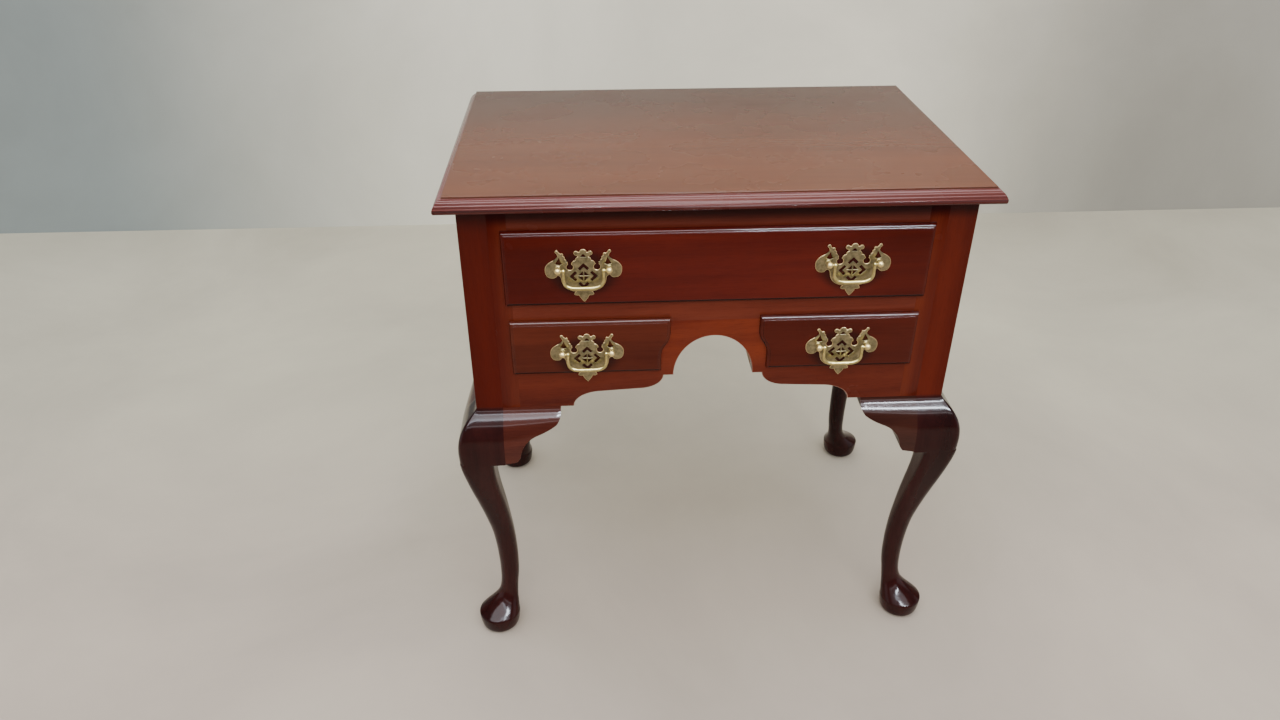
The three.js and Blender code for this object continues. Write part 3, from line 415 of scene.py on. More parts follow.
# Painted shade under the overhang of the top: the posts, stiles and rails darken to near black over these
# heights, most of all just under the top.
PAINTED_SHADE_UNDER_TOP = {
    "left": ("Z", 660 * mm, 692 * mm, (0.026, 0.0012, 0.0003), (0.042, 0.0025, 0.0006)),
    "right": ("Z", 668 * mm, 684 * mm, (0.026, 0.0012, 0.0003), (0.042, 0.0025, 0.0006)),
}
leg_wood = {}
for seed, (corner, (sign_x, sign_y)) in enumerate(corners.items()):
    pith = (0.31 + 0.17 * seed, 0.13 + 0.07 * seed, 0.4 * seed)
    post_dark, post_light = post_colours[corner.split("_")[1]]
    leg_wood[corner] = mahogany(
        f"leg mahogany {corner}",
        "Z",
        pith,
        LEG_DARK,
        LEG_LIGHT,
        tilt=(0.03, 0.02, 0.0),
        roughness=0.16,
        buffed=0.35,
        glaze=0.09,
        ripple=0.3,
        zones=[
            ("Z", CASE_BOTTOM - 3 * mm, CASE_BOTTOM + 3 * mm, post_dark, post_light),
            # painted shade under the top
            PAINTED_SHADE_UNDER_TOP[corner.split("_")[1]],
        ],
    )
    bm = leg_mesh()
    mark(bm, "polish", leg_polish)
    bmesh.ops.scale(bm, vec=(sign_x, sign_y, 1.0), verts=bm.verts)
    replaced = (f"leg_{corner}",)
    finished(bm, f"cabriole_leg_{corner}", "case", leg_wood[corner], replaced, 40.0)


# The six knee blocks are short lengths glued beside the knees, sawn to a scrolled lower edge and carved
# to carry the knee's swelling on, ever flatter, until they die out under the case.
KNEE_BLOCK_BACK = 20.0
KNEE_BLOCK_LENGTH = 78.0
KNEE_BLOCK_DROP = 76.0
KNEE_BLOCK_END = 0.64
KNEE_FULLNESS = 28.0
POST = 36.0
leg_rows = smooth_between(leg_stations, CREASES, 3)
knee_profile = [(z, outer) for z, outer, *rest in leg_rows if 329.0 < z < 408.0]
knee_block_edge = [
    ((1.0, 0.0), None),
    ((1.0, 0.11), None),
    ((0.92, 0.27), (0.985, 0.2)),
    ((0.6, 0.435), (0.8, 0.36)),
    ((0.275, 0.83), (0.325, 0.53)),
    ((0.205, 0.965), (0.265, 0.9)),
    ((0.05, 0.985), None),
    ((0.0, 1.0), None),
    ((0.0, 0.0), None),
]


def flat_face(points):
    """One face in the plane of X and Z, from points on its edge."""
    bm = bmesh.new()
    ring = bmesh.ops.create_circle(bm, cap_ends=True, radius=1.0, segments=len(points))["verts"]
    for v, (x, z) in zip(ring, points):
        v.co = (x, 0.0, z)
    return bm


def curved_edge(stops, steps):
    """Points along stops, each with the handle of the curve that leads to it, or None for a straight."""
    points = [stops[0][0]]
    for (x1, z1), handle in stops[1:]:
        x0, z0 = points[-1]
        if handle is None:
            points.append((x1, z1))
            continue
        for step in range(1, steps + 1):
            t = step / steps
            a, b, c = (1 - t) ** 2, 2 * t * (1 - t), t * t
            points.append((a * x0 + b * handle[0] + c * x1, a * z0 + b * handle[1] + c * z1))
    return points


def knee_swelling(z):
    for (z0, out0), (z1, out1) in zip(knee_profile, knee_profile[1:]):
        if z0 <= z <= z1:
            return out0 + (out1 - out0) * (z - z0) / max(z1 - z0, 1e-9)
    return 0.0 if z > 406.0 else knee_profile[0][1]


def knee_block_mesh():
    """The block behind the right half of the back, as if one stood there; the others are turned from it."""
    edge = [
        (CASE_HALF_WIDTH - (POST + along * KNEE_BLOCK_LENGTH) * mm, CASE_BOTTOM - down * KNEE_BLOCK_DROP * mm)
        for along, down in curved_edge(knee_block_edge, 10)
    ]
    bm = flat_face(edge)
    bmesh.ops.translate(bm, vec=(0.0, CASE_HALF_DEPTH - KNEE_BLOCK_BACK * mm, 0.0), verts=bm.verts)
    pushed = bmesh.ops.extrude_face_region(bm, geom=bm.faces[:])
    front = [v for v in pushed["geom"] if isinstance(v, bmesh.types.BMVert)]
    bmesh.ops.translate(bm, vec=(0.0, KNEE_BLOCK_BACK * mm, 0.0), verts=front)
    cuts = [((0.0, 0.0, z * mm), (0.0, 0.0, 1.0)) for z, outer in knee_profile[1:-1]]
    for step in range(1, 8):
        x = CASE_HALF_WIDTH - (POST + step * KNEE_BLOCK_LENGTH / 8) * mm
        cuts.append(((x, 0.0, 0.0), (1.0, 0.0, 0.0)))
    for place, facing in cuts:
        everything = bm.verts[:] + bm.edges[:] + bm.faces[:]
        bmesh.ops.bisect_plane(bm, geom=everything, plane_co=place, plane_no=facing)
    for v in bm.verts:
        if v.co.y > CASE_HALF_DEPTH - 1e-6:
            along = (CASE_HALF_WIDTH - v.co.x) / mm - POST
            fullest = KNEE_FULLNESS * (1.0 + (KNEE_BLOCK_END - 1.0) * max(along, 0.0) / KNEE_BLOCK_LENGTH)
            swelling = knee_swelling(v.co.z / mm)
            ratio = swelling / fullest
            share = (1 + ratio**5) ** -0.2 / (1 + (swelling / KNEE_FULLNESS) ** 5) ** -0.2
            v.co.y = CASE_HALF_DEPTH + swelling * share * mm
    front_rim = [
        e
        for e in bm.edges
        if len(e.link_faces) == 2
        and e.calc_face_angle(0.0) > math.radians(35)
        and all(v.co.y > CASE_HALF_DEPTH + 1e-4 for v in e.verts)
        and any(v.co.x < CASE_HALF_WIDTH - (POST + 1) * mm for v in e.verts)
    ]
    break_arrises(bm, front_rim, 0.6 * mm, 0.7)
    return bm


BLOCK_DARK = (0.023, 0.005, 0.003)
BLOCK_LIGHT = (0.058, 0.015, 0.009)
PALER_BLOCK = ("X", 30 * mm, -30 * mm, (0.048, 0.008, 0.0045), (0.118, 0.0235, 0.0125))
block_wood = {
    place: mahogany(
        f"{place} block mahogany",
        along,
        (0.2, 0.5, 0.3),
        BLOCK_DARK,
        BLOCK_LIGHT,
        roughness=0.16,
        coat=0.38,
        ripple=0.3,
        zones=[PALER_BLOCK],
    )
    for place, along in (("front", "X"), ("side", "Y"))
}
for corner, (sign_x, sign_y) in corners.items():
    for place in ("front", "side"):
        if place == "front" and sign_y > 0:
            continue
        bm = knee_block_mesh()
        if place == "side":
            for v in bm.verts:
                x, y = v.co.x - CASE_HALF_WIDTH, v.co.y - CASE_HALF_DEPTH
                v.co.x, v.co.y = CASE_HALF_WIDTH + y, CASE_HALF_DEPTH + x
        bmesh.ops.scale(bm, vec=(sign_x, sign_y, 1.0), verts=bm.verts)
        left_or_right = corner.split("_")[1]
        replaced = f"knee_block_front_{left_or_right}" if place == "front" else f"knee_block_side_{corner}"
        finished(bm, f"scrolled_{replaced}", "case", block_wood[place], (replaced,), 35.0)


# The face frame: a top rail, a middle rail and the apron, tenoned into two narrow stiles beside the
# posts. Its arrises are just broken with a scraper.
def eased_copy(node_name, ease):
    """A copy of a solid with its triangles merged and its sharp arrises broken."""
    bm = bmesh.new()
    bm.from_mesh(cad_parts[node_name].data)
    bmesh.ops.remove_doubles(bm, verts=bm.verts, dist=1e-5)
    bmesh.ops.dissolve_limit(bm, angle_limit=math.radians(1.0), verts=bm.verts, edges=bm.edges)
    sharp = [e for e in bm.edges if len(e.link_faces) == 2 and e.calc_face_angle(0.0) > math.radians(40)]
    break_arrises(bm, sharp, ease, 0.0)
    return bm


FRONT_DARK = (0.108, 0.0155, 0.0075)
FRONT_LIGHT = (0.19, 0.036, 0.0165)
rail_wood = mahogany(
    "rail mahogany",
    "X",
    (0.1, 0.02, -0.9),
    FRONT_DARK,
    FRONT_LIGHT,
    tilt=(0.0, 0.02, 0.03),
    # painted shade under the top
    zones=[PAINTED_SHADE_UNDER_TOP["right"]],
)
stile_wood = mahogany(
    "stile mahogany",
    "Z",
    (0.05, 0.3, 0.2),
    *post_colours["left"],
    zones=[
        ("X", -284 * mm, -258 * mm, (0.09, 0.0105, 0.004), (0.158, 0.0245, 0.0085)),
        ("X", 262 * mm, 284 * mm, *post_colours["right"]),
        # painted shade under the top
        PAINTED_SHADE_UNDER_TOP["right"],
    ],
)
for name in ("top_rail", "middle_rail"):
    finished(eased_copy(name, 0.12 * mm), f"scraped_{name}", "case", rail_wood, (name,))
for name in ("stile_left", "stile_right"):
    finished(eased_copy(name, 0.06 * mm), f"scraped_{name}", "case", stile_wood, (name,))


# The apron is one wide board under the lower drawers, fretted to a round arch between two scrolls, with
# a web rising between the drawers to the middle rail.
OPENING_HALF = 260.0
WEB_HALF = 79.5
ARCH_HALF = 53.0
ARCH_RISE = 59.4
ARCH_SPRING = 452.2
SHELF_INNER = (98.4, 432.0)
SHELF_OUTER = (149.4, 429.3)
SHOULDER = 187.4
APRON_TOP = 468.0
WEB_TOP = 535.4
FRAME_THICKNESS = 20.0


def quarter(centre, start, end, steps):
    """Points on a quarter ellipse from start to end about centre, the start left out."""
    (cx, cz), (x0, z0), (x1, z1) = centre, start, end
    points = []
    for step in range(1, steps + 1):
        turn = step / steps * math.pi / 2
        points.append((cx + (x0 - cx) * math.cos(turn) + (x1 - cx) * math.sin(turn),
                       cz + (z0 - cz) * math.cos(turn) + (z1 - cz) * math.sin(turn)))
    return points


bottom = CASE_BOTTOM / mm
right_edge = [(OPENING_HALF, APRON_TOP), (OPENING_HALF, bottom), (SHOULDER, bottom)]
right_edge += quarter((SHELF_OUTER[0], bottom), (SHOULDER, bottom), SHELF_OUTER, 12)
right_edge += [SHELF_INNER]
cove_end = (SHELF_INNER[0] - 32.0, ARCH_SPRING)
right_edge += quarter((SHELF_INNER[0], ARCH_SPRING), SHELF_INNER, cove_end, 12)
right_edge += [(ARCH_HALF, ARCH_SPRING)]
right_edge += quarter((0.0, ARCH_SPRING), (ARCH_HALF, ARCH_SPRING), (0.0, ARCH_SPRING + ARCH_RISE), 28)
left_edge = [(-x, z) for x, z in reversed(right_edge[:-1])]
web = [(-WEB_HALF, APRON_TOP), (-WEB_HALF, WEB_TOP), (WEB_HALF, WEB_TOP), (WEB_HALF, APRON_TOP)]
bm = flat_face([(x * mm, z * mm) for x, z in right_edge + left_edge + web])
bmesh.ops.translate(bm, vec=(0.0, -CASE_HALF_DEPTH, 0.0), verts=bm.verts)
pushed = bmesh.ops.extrude_face_region(bm, geom=bm.faces[:])
back = [v for v in pushed["geom"] if isinstance(v, bmesh.types.BMVert)]
bmesh.ops.translate(bm, vec=(0.0, FRAME_THICKNESS * mm, 0.0), verts=back)
open_edge = (OPENING_HALF - 1) * mm
rims = [
    e
    for e in bm.edges
    if abs(e.verts[0].co.y - e.verts[1].co.y) < 1e-6
    and all(abs(v.co.x) < open_edge and v.co.z < (ARCH_SPRING + ARCH_RISE + 1) * mm for v in e.verts)
]
break_arrises(bm, rims, 0.8 * mm, 1.0)
APRON_DARK = (0.082, 0.0094, 0.0042)
APRON_LIGHT = (0.15, 0.024, 0.0098)
web_stain = ("Z", 452 * mm, 500 * mm, (0.126, 0.0148, 0.0055), (0.232, 0.0375, 0.0125))
apron_wood = mahogany(
    "apron mahogany",
    "X",
    (0.02, 0.03, -0.33),
    APRON_DARK,
    APRON_LIGHT,
    tilt=(0.0, 0.05, 0.04),
    figure=1.4,
    zones=[web_stain],
)
finished(bm, "fretted_apron", "case", apron_wood, ("apron",), 25.0)


# Side boards of the same mahogany, grain level, tongued into the posts; the back is a plain board of
# a pale secondary wood, left unpolished.
side_wood = mahogany(
    "side mahogany", "Y", (0.7, 0.1, -0.8), (0.08, 0.011, 0.004), (0.15, 0.025, 0.008), tilt=(0.02, 0.0, 0.02)
)
for name in ("side_left", "side_right"):
    finished(eased_copy(name, 0.12 * mm), f"scraped_{name}", "case", side_wood, (name,))


def plain_wood(name, along, offset, dark, light):
    """Unpolished pale wood with soft streaks and a dry surface."""
    material = bpy.data.materials.new(name)
    material.use_nodes = True
    tree = material.node_tree
    link = tree.links.new
    shader = tree.nodes["Principled BSDF"]
    place = node(tree, "TexCoord")
    stretch = [30.0, 30.0, 30.0]
    stretch["XYZ".index(along)] = 1.6
    drawn = node(tree, "Mapping", {"Location": offset, "Scale": stretch})
    link(place.outputs["Object"], drawn.inputs["Vector"])
    streaks = node(tree, "TexNoise", {"Scale": 1.0, "Detail": 6.0, "Roughness": 0.62, "Distortion": 0.5})
    link(drawn.outputs["Vector"], streaks.inputs["Vector"])
    fine = [700.0, 700.0, 700.0]
    fine["XYZ".index(along)] = 25.0
    fibre_place = node(tree, "Mapping", {"Scale": fine})
    link(place.outputs["Object"], fibre_place.inputs["Vector"])
    fibres = node(tree, "TexNoise", {"Scale": 1.0, "Detail": 2.0})
    link(fibre_place.outputs["Vector"], fibres.inputs["Vector"])
    both = node(tree, "Mix", {"Factor": 0.3}, data_type="FLOAT")
    link(streaks.outputs["Fac"], both.inputs["A"])
    link(fibres.outputs["Fac"], both.inputs["B"])
    middle = tuple((a + b) / 2 for a, b in zip(dark, light))
    colour = ramp(tree, both.outputs["Result"], [(0.32, dark), (0.5, middle), (0.68, light)])
    link(colour.outputs["Color"], shader.inputs["Base Color"])
    shader.inputs["Roughness"].default_value = 0.68
    dry = node(tree, "Bump", {"Strength": 0.25, "Distance": 0.0003})
    link(fibres.outputs["Fac"], dry.inputs["Height"])
    link(dry.outputs["Normal"], shader.inputs["Normal"])
    return material


back_wood = plain_wood("back board wood", "X", (0.0, 0.0, 0.0), (0.16, 0.085, 0.04), (0.32, 0.19, 0.1))
bm = eased_copy("back_board", 0.4 * mm)
finished(bm, "planed_back_board", "case", back_wood, ("back_board",))


# The top is one mahogany board. An ovolo under a small quirk is run along the front and both ends, and
# the back is left square, so that the moulding shows in section there.
TOP_HALF_WIDTH = 343.0
TOP_FRONT = -233.0
TOP_BACK = 214.0
MOULDING = 11.7
OVOLO_LOW, OVOLO_HIGH = (0.0, 5.3), (11.0, 16.5)
OVOLO_TURN = (math.radians(68), math.radians(14))


def ovolo_point(share):
    """A place on the ovolo, from the arris under it to the quirk: how far in and how high."""
    (x0, z0), (x1, z1) = OVOLO_LOW, OVOLO_HIGH
    first, last = OVOLO_TURN
    turn = first + (last - first) * share
    across = (math.sin(first) - math.sin(turn)) / (math.sin(first) - math.sin(last))
    up = (math.cos(turn) - math.cos(first)) / (math.cos(last) - math.cos(first))
    return x0 + (x1 - x0) * across, z0 + (z1 - z0) * up


top_edge = [(2.4, 0.0), (1.2, 0.4), (0.5, 1.2), (0.1, 2.4), (0.0, 3.6)]
top_edge += [ovolo_point(step / 12) for step in range(13)]
top_edge += [(11.05, 17.8), (11.15, 18.4), (11.35, 18.8), (11.8, 19.0)]


def set_layer(face, inset, z):
    """Puts the four corners of one layer of the top in place."""
    for v in face.verts:
        v.co.x = math.copysign(TOP_HALF_WIDTH - inset, v.co.x) * mm
        v.co.y = (TOP_BACK if v.co.y > 0 else TOP_FRONT + inset) * mm
        v.co.z = CASE_TOP + z * mm


bm = bmesh.new()
bmesh.ops.create_grid(bm, x_segments=1, y_segments=1, size=1.0)
layer = bm.faces[:][0]
set_layer(layer, *top_edge[0])
for inset, z in top_edge[1:]:
    pushed = bmesh.ops.extrude_face_region(bm, geom=[layer])["geom"]
    layer = [f for f in pushed if isinstance(f, bmesh.types.BMFace)][0]
    set_layer(layer, inset, z)
mark(bm, "polish", lambda face: face.calc_center_median().z < CASE_TOP + 18.9 * mm)
# The ovolo is painted lighter and pinker than the rest of the top: a painted sheen.
MOULD_SHEEN_DARK = (0.13, 0.03, 0.026)
MOULD_SHEEN_LIGHT = (0.185, 0.055, 0.048)
# The top's colour is browner than the fronts', partly a painted reflection of the pale wall that it mirrors;
# it darkens from front to back, and under the ovolo the edge goes back to a darker red.
top_wood = mahogany(
    "top mahogany",
    "X",
    (0.4, 0.25, -1.05),
    (0.115, 0.03, 0.011),
    (0.175, 0.052, 0.02),
    tilt=(0.02, 0.02, 0.015),
    roughness=0.26,
    coat=0.27,
    buffed=0.45,
    glaze=0.11,
    figure=0.15,
    zones=[
        ("Y", -200 * mm, TOP_BACK * mm, (0.042, 0.0098, 0.005), (0.067, 0.0175, 0.0088)),
        ("Z", CASE_TOP + 17.2 * mm, CASE_TOP + 16.4 * mm, MOULD_SHEEN_DARK, MOULD_SHEEN_LIGHT),
        ("Z", CASE_TOP + 7.2 * mm, CASE_TOP + 4.8 * mm, (0.066, 0.007, 0.005), (0.1, 0.0135, 0.01)),
    ],
)
finished(bm, "moulded_top", "case", top_wood, ("top_board",), 16.0)


# Runners and kickers inside the case are of the plain secondary wood, and stay as the solids are.
runner_wood = plain_wood("runner wood", "Y", (0.3, 0.1, 0.6), (0.2, 0.11, 0.05), (0.38, 0.235, 0.12))
for name in ("top_runner", "lower_runner", "inner_runner", "kicker"):
    for side in ("left", "right"):
        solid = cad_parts[f"{name}_{side}"]
        solid.data.materials.clear()
        solid.data.materials.append(runner_wood)


# Drawer fronts of mahogany, darker than the rails, each with a thumbnail moulding worked on its lip,
# which closes against the frame, and a plug behind it that fills the opening.
LIP = 5.7
WIDE_LIP = 8.5
LIP_FACE = 8.5
LIP_GAP = 0.3
FRONT_FACE = -CASE_HALF_DEPTH - LIP_FACE * mm
lip_edge = [
    (0.0, 0.0), (0.0, 1.4), (0.1, 2.4), (0.4, 3.5), (0.9, 4.5), (1.6, 5.35), (2.5, 6.0), (3.5, 6.4),
    (4.2, 6.55), (4.4, 6.7), (4.5, 7.3), (4.65, 7.75), (5.0, 8.05), (5.5, 8.2),
]
pull_places = {
    "top_drawer": {"top_left": (-168.2, 619.2), "top_right": (168.2, 619.2)},
    "lower_left_drawer": {"lower_left": (-167.2, 499.9)},
    "lower_right_drawer": {"lower_right": (167.2, 499.9)},
}
drawer_tones = {
    "top_drawer": ((0.55, 0.04, -0.86), (0.0684, 0.0047, 0.0027), (0.1295, 0.0128, 0.0059), 0.015),
    "lower_left_drawer": ((1.3, 0.04, -0.7), (0.0626, 0.0086, 0.0034), (0.116, 0.0199, 0.0081), 0.01),
    "lower_right_drawer": ((2.1, 0.04, -0.66), (0.0516, 0.005, 0.002), (0.0936, 0.0111, 0.0042), -0.01),
}
dark_ends = [
    ("X", 130 * mm, 235 * mm, (0.0471, 0.0024, 0.0007), (0.0885, 0.0064, 0.0017)),
    ("X", -120 * mm, -235 * mm, (0.0527, 0.0023, 0.0007), (0.0972, 0.0063, 0.0016)),
]
drawer_wood = {}
# Each front is darkened about its pulls, partly old polish and partly a painted shadow round the plate.
for name, (pith, dark, light, lean) in drawer_tones.items():
    drawer_wood[name] = mahogany(
        f"{name} mahogany",
        "X",
        pith,
        dark,
        light,
        tilt=(0.0, lean, 0.02),
        zones=dark_ends if name == "top_drawer" else (),
        grime_and_shadow_spots=[(x, z - 9.0) for x, z in pull_places[name].values()],
    )


def lower_lip_edge():
    """The right drawer's lip, whose edge beside the arch draws back in a slow S."""
    near, far, low, high = WEB_HALF - 21.5, OPENING_HALF + LIP, 468.0 - LIP, 535.4 + LIP
    inner = WEB_HALF - 9.7
    middle = (near + inner) / 2
    start = high - 22.0
    stops = [
        ((near, high), None),
        ((near, start), None),
        ((middle, start - 17.5), (near, start - 8.75)),
        ((inner, start - 35.0), (inner, start - 26.25)),
        ((inner, low), None),
        ((far, low), None),
        ((far, high), None),
    ]
    return curved_edge(stops, 12)


top_lip = [
    (-OPENING_HALF - WIDE_LIP, 570.4 - LIP), (OPENING_HALF + WIDE_LIP, 570.4 - LIP),
    (OPENING_HALF + WIDE_LIP, 660.4 + LIP), (-OPENING_HALF - WIDE_LIP, 660.4 + LIP),
]
right_lip = lower_lip_edge()
left_lip = [(-x, z) for x, z in reversed(right_lip)]


def drawer_front_mesh(outline):
    """The moulded lip, raised step by step from its outline and closed at the back."""
    bm = flat_face([(x * mm, z * mm) for x, z in outline])
    bmesh.ops.translate(bm, vec=(0.0, -CASE_HALF_DEPTH - LIP_GAP * mm, 0.0), verts=bm.verts)
    bmesh.ops.recalc_face_normals(bm, faces=bm.faces)
    if bm.faces[:][0].normal.y > 0:
        bmesh.ops.reverse_faces(bm, faces=bm.faces)
    raised = bm.faces[:]
    back_rim = [v for v in bm.verts]
    pushed = bmesh.ops.extrude_face_region(bm, geom=raised)
    raised = [f for f in pushed["geom"] if isinstance(f, bmesh.types.BMFace)]
    moved = [v for v in pushed["geom"] if isinstance(v, bmesh.types.BMVert)]
    bmesh.ops.translate(bm, vec=(0.0, -lip_edge[1][1] * mm, 0.0), verts=moved)
    for (inset0, up0), (inset1, up1) in zip(lip_edge[1:], lip_edge[2:]):
        step_in = (inset1 - inset0) * mm
        bmesh.ops.inset_region(bm, faces=raised, thickness=step_in, use_even_offset=True, use_boundary=True)
        moved = list({v for f in raised for v in f.verts})
        bmesh.ops.translate(bm, vec=(0.0, -(up1 - up0) * mm, 0.0), verts=moved)
    bmesh.ops.contextual_create(bm, geom=back_rim)
    bm.normal_update()
    mark(bm, "polish", lambda face: 0.0 if face.normal.y < -0.99 else max(0.12, min(1.0, 3 * face.normal.z)))
    # Painted shade: the faces that look down, under the lip, are marked to be painted near black.
    mark(bm, "grime_and_shade", lambda face: 1.0 if face.normal.z < -0.3 else 0.0)
    return bm


def plug_mesh(name):
    """The part of a front that enters the case, cut from the solid behind the lip, sockets and all."""
    bm = bmesh.new()
    bm.from_mesh(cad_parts[f"{name}_front"].data)
    bmesh.ops.remove_doubles(bm, verts=bm.verts, dist=1e-5)
    bmesh.ops.dissolve_limit(bm, angle_limit=math.radians(1.0), verts=bm.verts, edges=bm.edges)
    cut = bmesh.ops.bisect_plane(
        bm,
        geom=bm.verts[:] + bm.edges[:] + bm.faces[:],
        plane_co=(0.0, -CASE_HALF_DEPTH + 0.2 * mm, 0.0),
        plane_no=(0.0, -1.0, 0.0),
        clear_outer=True,
    )
    bmesh.ops.holes_fill(bm, edges=[e for e in cut["geom_cut"] if isinstance(e, bmesh.types.BMEdge)], sides=0)
    return bm


lips = {"top_drawer": top_lip, "lower_left_drawer": left_lip, "lower_right_drawer": right_lip}
for name, outline in lips.items():
    wood = drawer_wood[name]
    bm = drawer_front_mesh(outline)
    finished(bm, f"{name}_moulded_front", name, wood, (f"{name}_front",), 24.0)
    finished(plug_mesh(name), f"{name}_front_plug", name, wood, (), 24.0)


# The drawer boxes are of pale secondary wood: sides dovetailed to the front, a back housed between them
# and a thin bottom slid into grooves. They stay as the solids are.
box_wood = plain_wood("drawer side wood", "Y", (0.9, 0.4, 0.2), (0.27, 0.155, 0.075), (0.46, 0.3, 0.165))
bottom_wood = plain_wood("drawer bottom wood", "X", (0.1, 0.7, 0.9), (0.3, 0.18, 0.09), (0.5, 0.335, 0.19))
for drawer in drawer_wood:
    for part in ("side_left", "side_right", "back", "bottom"):
        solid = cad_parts[f"{drawer}_{part}"]
        solid.data.materials.clear()
        solid.data.materials.append(bottom_wood if part in ("back", "bottom") else box_wood)


# The pulls: a cast brass plate pierced and filed to a bat-wing outline, two turned posts bolted through
# the drawer front, and a bail that swings between their bored heads. Old lacquer has gone dull in the
# hollows and bright on every edge that hands rub.
def aged_brass(name, dull, bright, rubbed, roughness):
    material = bpy.data.materials.new(name)
    material.use_nodes = True
    tree = material.node_tree
    link = tree.links.new
    shader = tree.nodes["Principled BSDF"]
    place = node(tree, "TexCoord")
    patches = node(tree, "TexNoise", {"Scale": 160.0, "Detail": 4.0, "Roughness": 0.6})
    link(place.outputs["Object"], patches.inputs["Vector"])
    colour = ramp(tree, patches.outputs["Fac"], [(0.3, dull), (0.62, bright)])
    worn = node(tree, "Attribute", attribute_name="wear")
    both = node(tree, "Mix", {"B": (*rubbed, 1.0)}, data_type="RGBA")
    link(worn.outputs["Fac"], both.inputs["Factor"])
    link(colour.outputs["Color"], both.inputs["A"])
    link(both.outputs["Result"], shader.inputs["Base Color"])
    shader.inputs["Metallic"].default_value = 1.0
    spread = node(tree, "MapRange", {"From Min": 0.3, "From Max": 0.7})
    spread.inputs["To Min"].default_value = roughness + 0.1
    spread.inputs["To Max"].default_value = roughness - 0.05
    link(patches.outputs["Fac"], spread.inputs["Value"])
    link(spread.outputs["Result"], shader.inputs["Roughness"])
    cast = node(tree, "Bump", {"Strength": 0.15, "Distance": 0.0003})
    link(patches.outputs["Fac"], cast.inputs["Height"])
    link(cast.outputs["Normal"], shader.inputs["Normal"])
    return material


RUBBED = (0.86, 0.67, 0.33)
plate_brass = aged_brass("plate brass", (0.145, 0.125, 0.066), (0.33, 0.285, 0.16), RUBBED, 0.34)
head_brass = aged_brass("post brass", (0.3, 0.24, 0.1), (0.5, 0.4, 0.18), (0.78, 0.62, 0.28), 0.44)
bright_brass = aged_brass("rubbed brass", (0.42, 0.35, 0.14), (0.7, 0.585, 0.24), RUBBED, 0.3)
POST_SPACING = 63.5
UNIT = POST_SPACING / 2
PLATE_THICKNESS = 1.6
PLATE_BEVEL = 0.5
HEAD_STANDOFF = 9.4
arc_parts = {
    "crest": ((0.0, 0.63), 0.142, 90, 10),
    "crest knob": ((0.271, 0.608), 0.091, 150, -100),
    "notch": ((0.529, 0.02), 0.132, 115, 420),
    "inner knob": ((0.825, 0.55), 0.06, 225, 45),
    "tip knob": ((1.014, 0.672), 0.066, 190, -80),
}


def arc_points(part, steps):
    (cx, cz), radius, start, end = arc_parts[part]
    turns = [math.radians(start + (end - start) * step / steps) for step in range(steps + 1)]
    return [(cx + radius * math.cos(turn), cz + radius * math.sin(turn)) for turn in turns]


def cusped(start, handle, end, count, rise):
    """Points on a curve that rises between small cusps on its left, the start left out."""
    points = []
    steps = 6 * count
    for step in range(1, steps + 1):
        t = step / steps
        x, z = curved_edge([(start, None), (end, handle)], steps)[step]
        dx = (1 - t) * (handle[0] - start[0]) + t * (end[0] - handle[0])
        dz = (1 - t) * (handle[1] - start[1]) + t * (end[1] - handle[1])
        bulge = rise * abs(math.sin(math.pi * count * t)) / math.hypot(dx, dz)
        points.append((x - dz * bulge, z + dx * bulge))
    return points


def plate_edge():
    """Half of the plate's outline, from the top of its crest down the right side to the drop's point."""
    edge = arc_points("crest", 7) + arc_points("crest knob", 14)
    edge += [(0.202, 0.457)] + cusped((0.202, 0.457), (0.299, 0.3), (0.46, 0.175), 2, 0.035)
    edge += arc_points("notch", 20) + [(0.611, 0.19)]
    edge += cusped((0.611, 0.19), (0.693, 0.27), (0.77, 0.495), 3, 0.035)
    edge += arc_points("inner knob", 8) + arc_points("tip knob", 12) + [(0.983, 0.495)]
    stops = [(p, None) for p in edge]
    for hx, hz, x, z in (
        (1.033, 0.37, 1.216, 0.287), (1.5, 0.15, 1.5, -0.094), (1.493, -0.447, 1.209, -0.447),
        (1.09, -0.447, 1.027, -0.328), (0.913, -0.334, 0.882, -0.472), (0.863, -0.945, 0.315, -1.046),
        (0.38, -1.085, 0.388, -1.175), (0.299, -1.235, 0.202, -1.205), (0.176, -1.32, 0.0, -1.505),
    ):
        stops.append(((x, z), (hx, hz)))
    return curved_edge(stops, 10)


def plate_holes():
    centre = -0.375
    crest = [((-0.11, 0.44), None), ((0.11, 0.44), (0.0, 0.7)), ((-0.11, 0.44), (0.0, 0.45))]
    holes = [curved_edge(crest, 6)[:-1]]
    for sign in (-1, 1):
        wing = [(0.93, 0.44), (0.885, 0.28), (0.815, 0.15), (0.93, 0.11), (1.1, 0.15)]
        holes.append([(sign * px, pz) for px, pz in wing])
        for up in (-1, 1):
            corner = (sign * 0.026, centre + up * 0.024)
            holes.append([corner, (sign * 0.215, corner[1]), (corner[0], centre + up * 0.215)])
    apex, arm, width = 0.56, 0.225, 0.085
    band = [(apex, 0.0), (apex - arm, arm), (apex - arm - width, arm - width), (apex - 2 * width, 0.0),
            (apex - arm - width, width - arm), (apex - arm, -arm)]
    for turn in range(4):
        c, s = round(math.cos(turn * math.pi / 2)), round(math.sin(turn * math.pi / 2))
        holes.append([(x * c - z * s, centre + x * s + z * c) for x, z in band])
    return holes


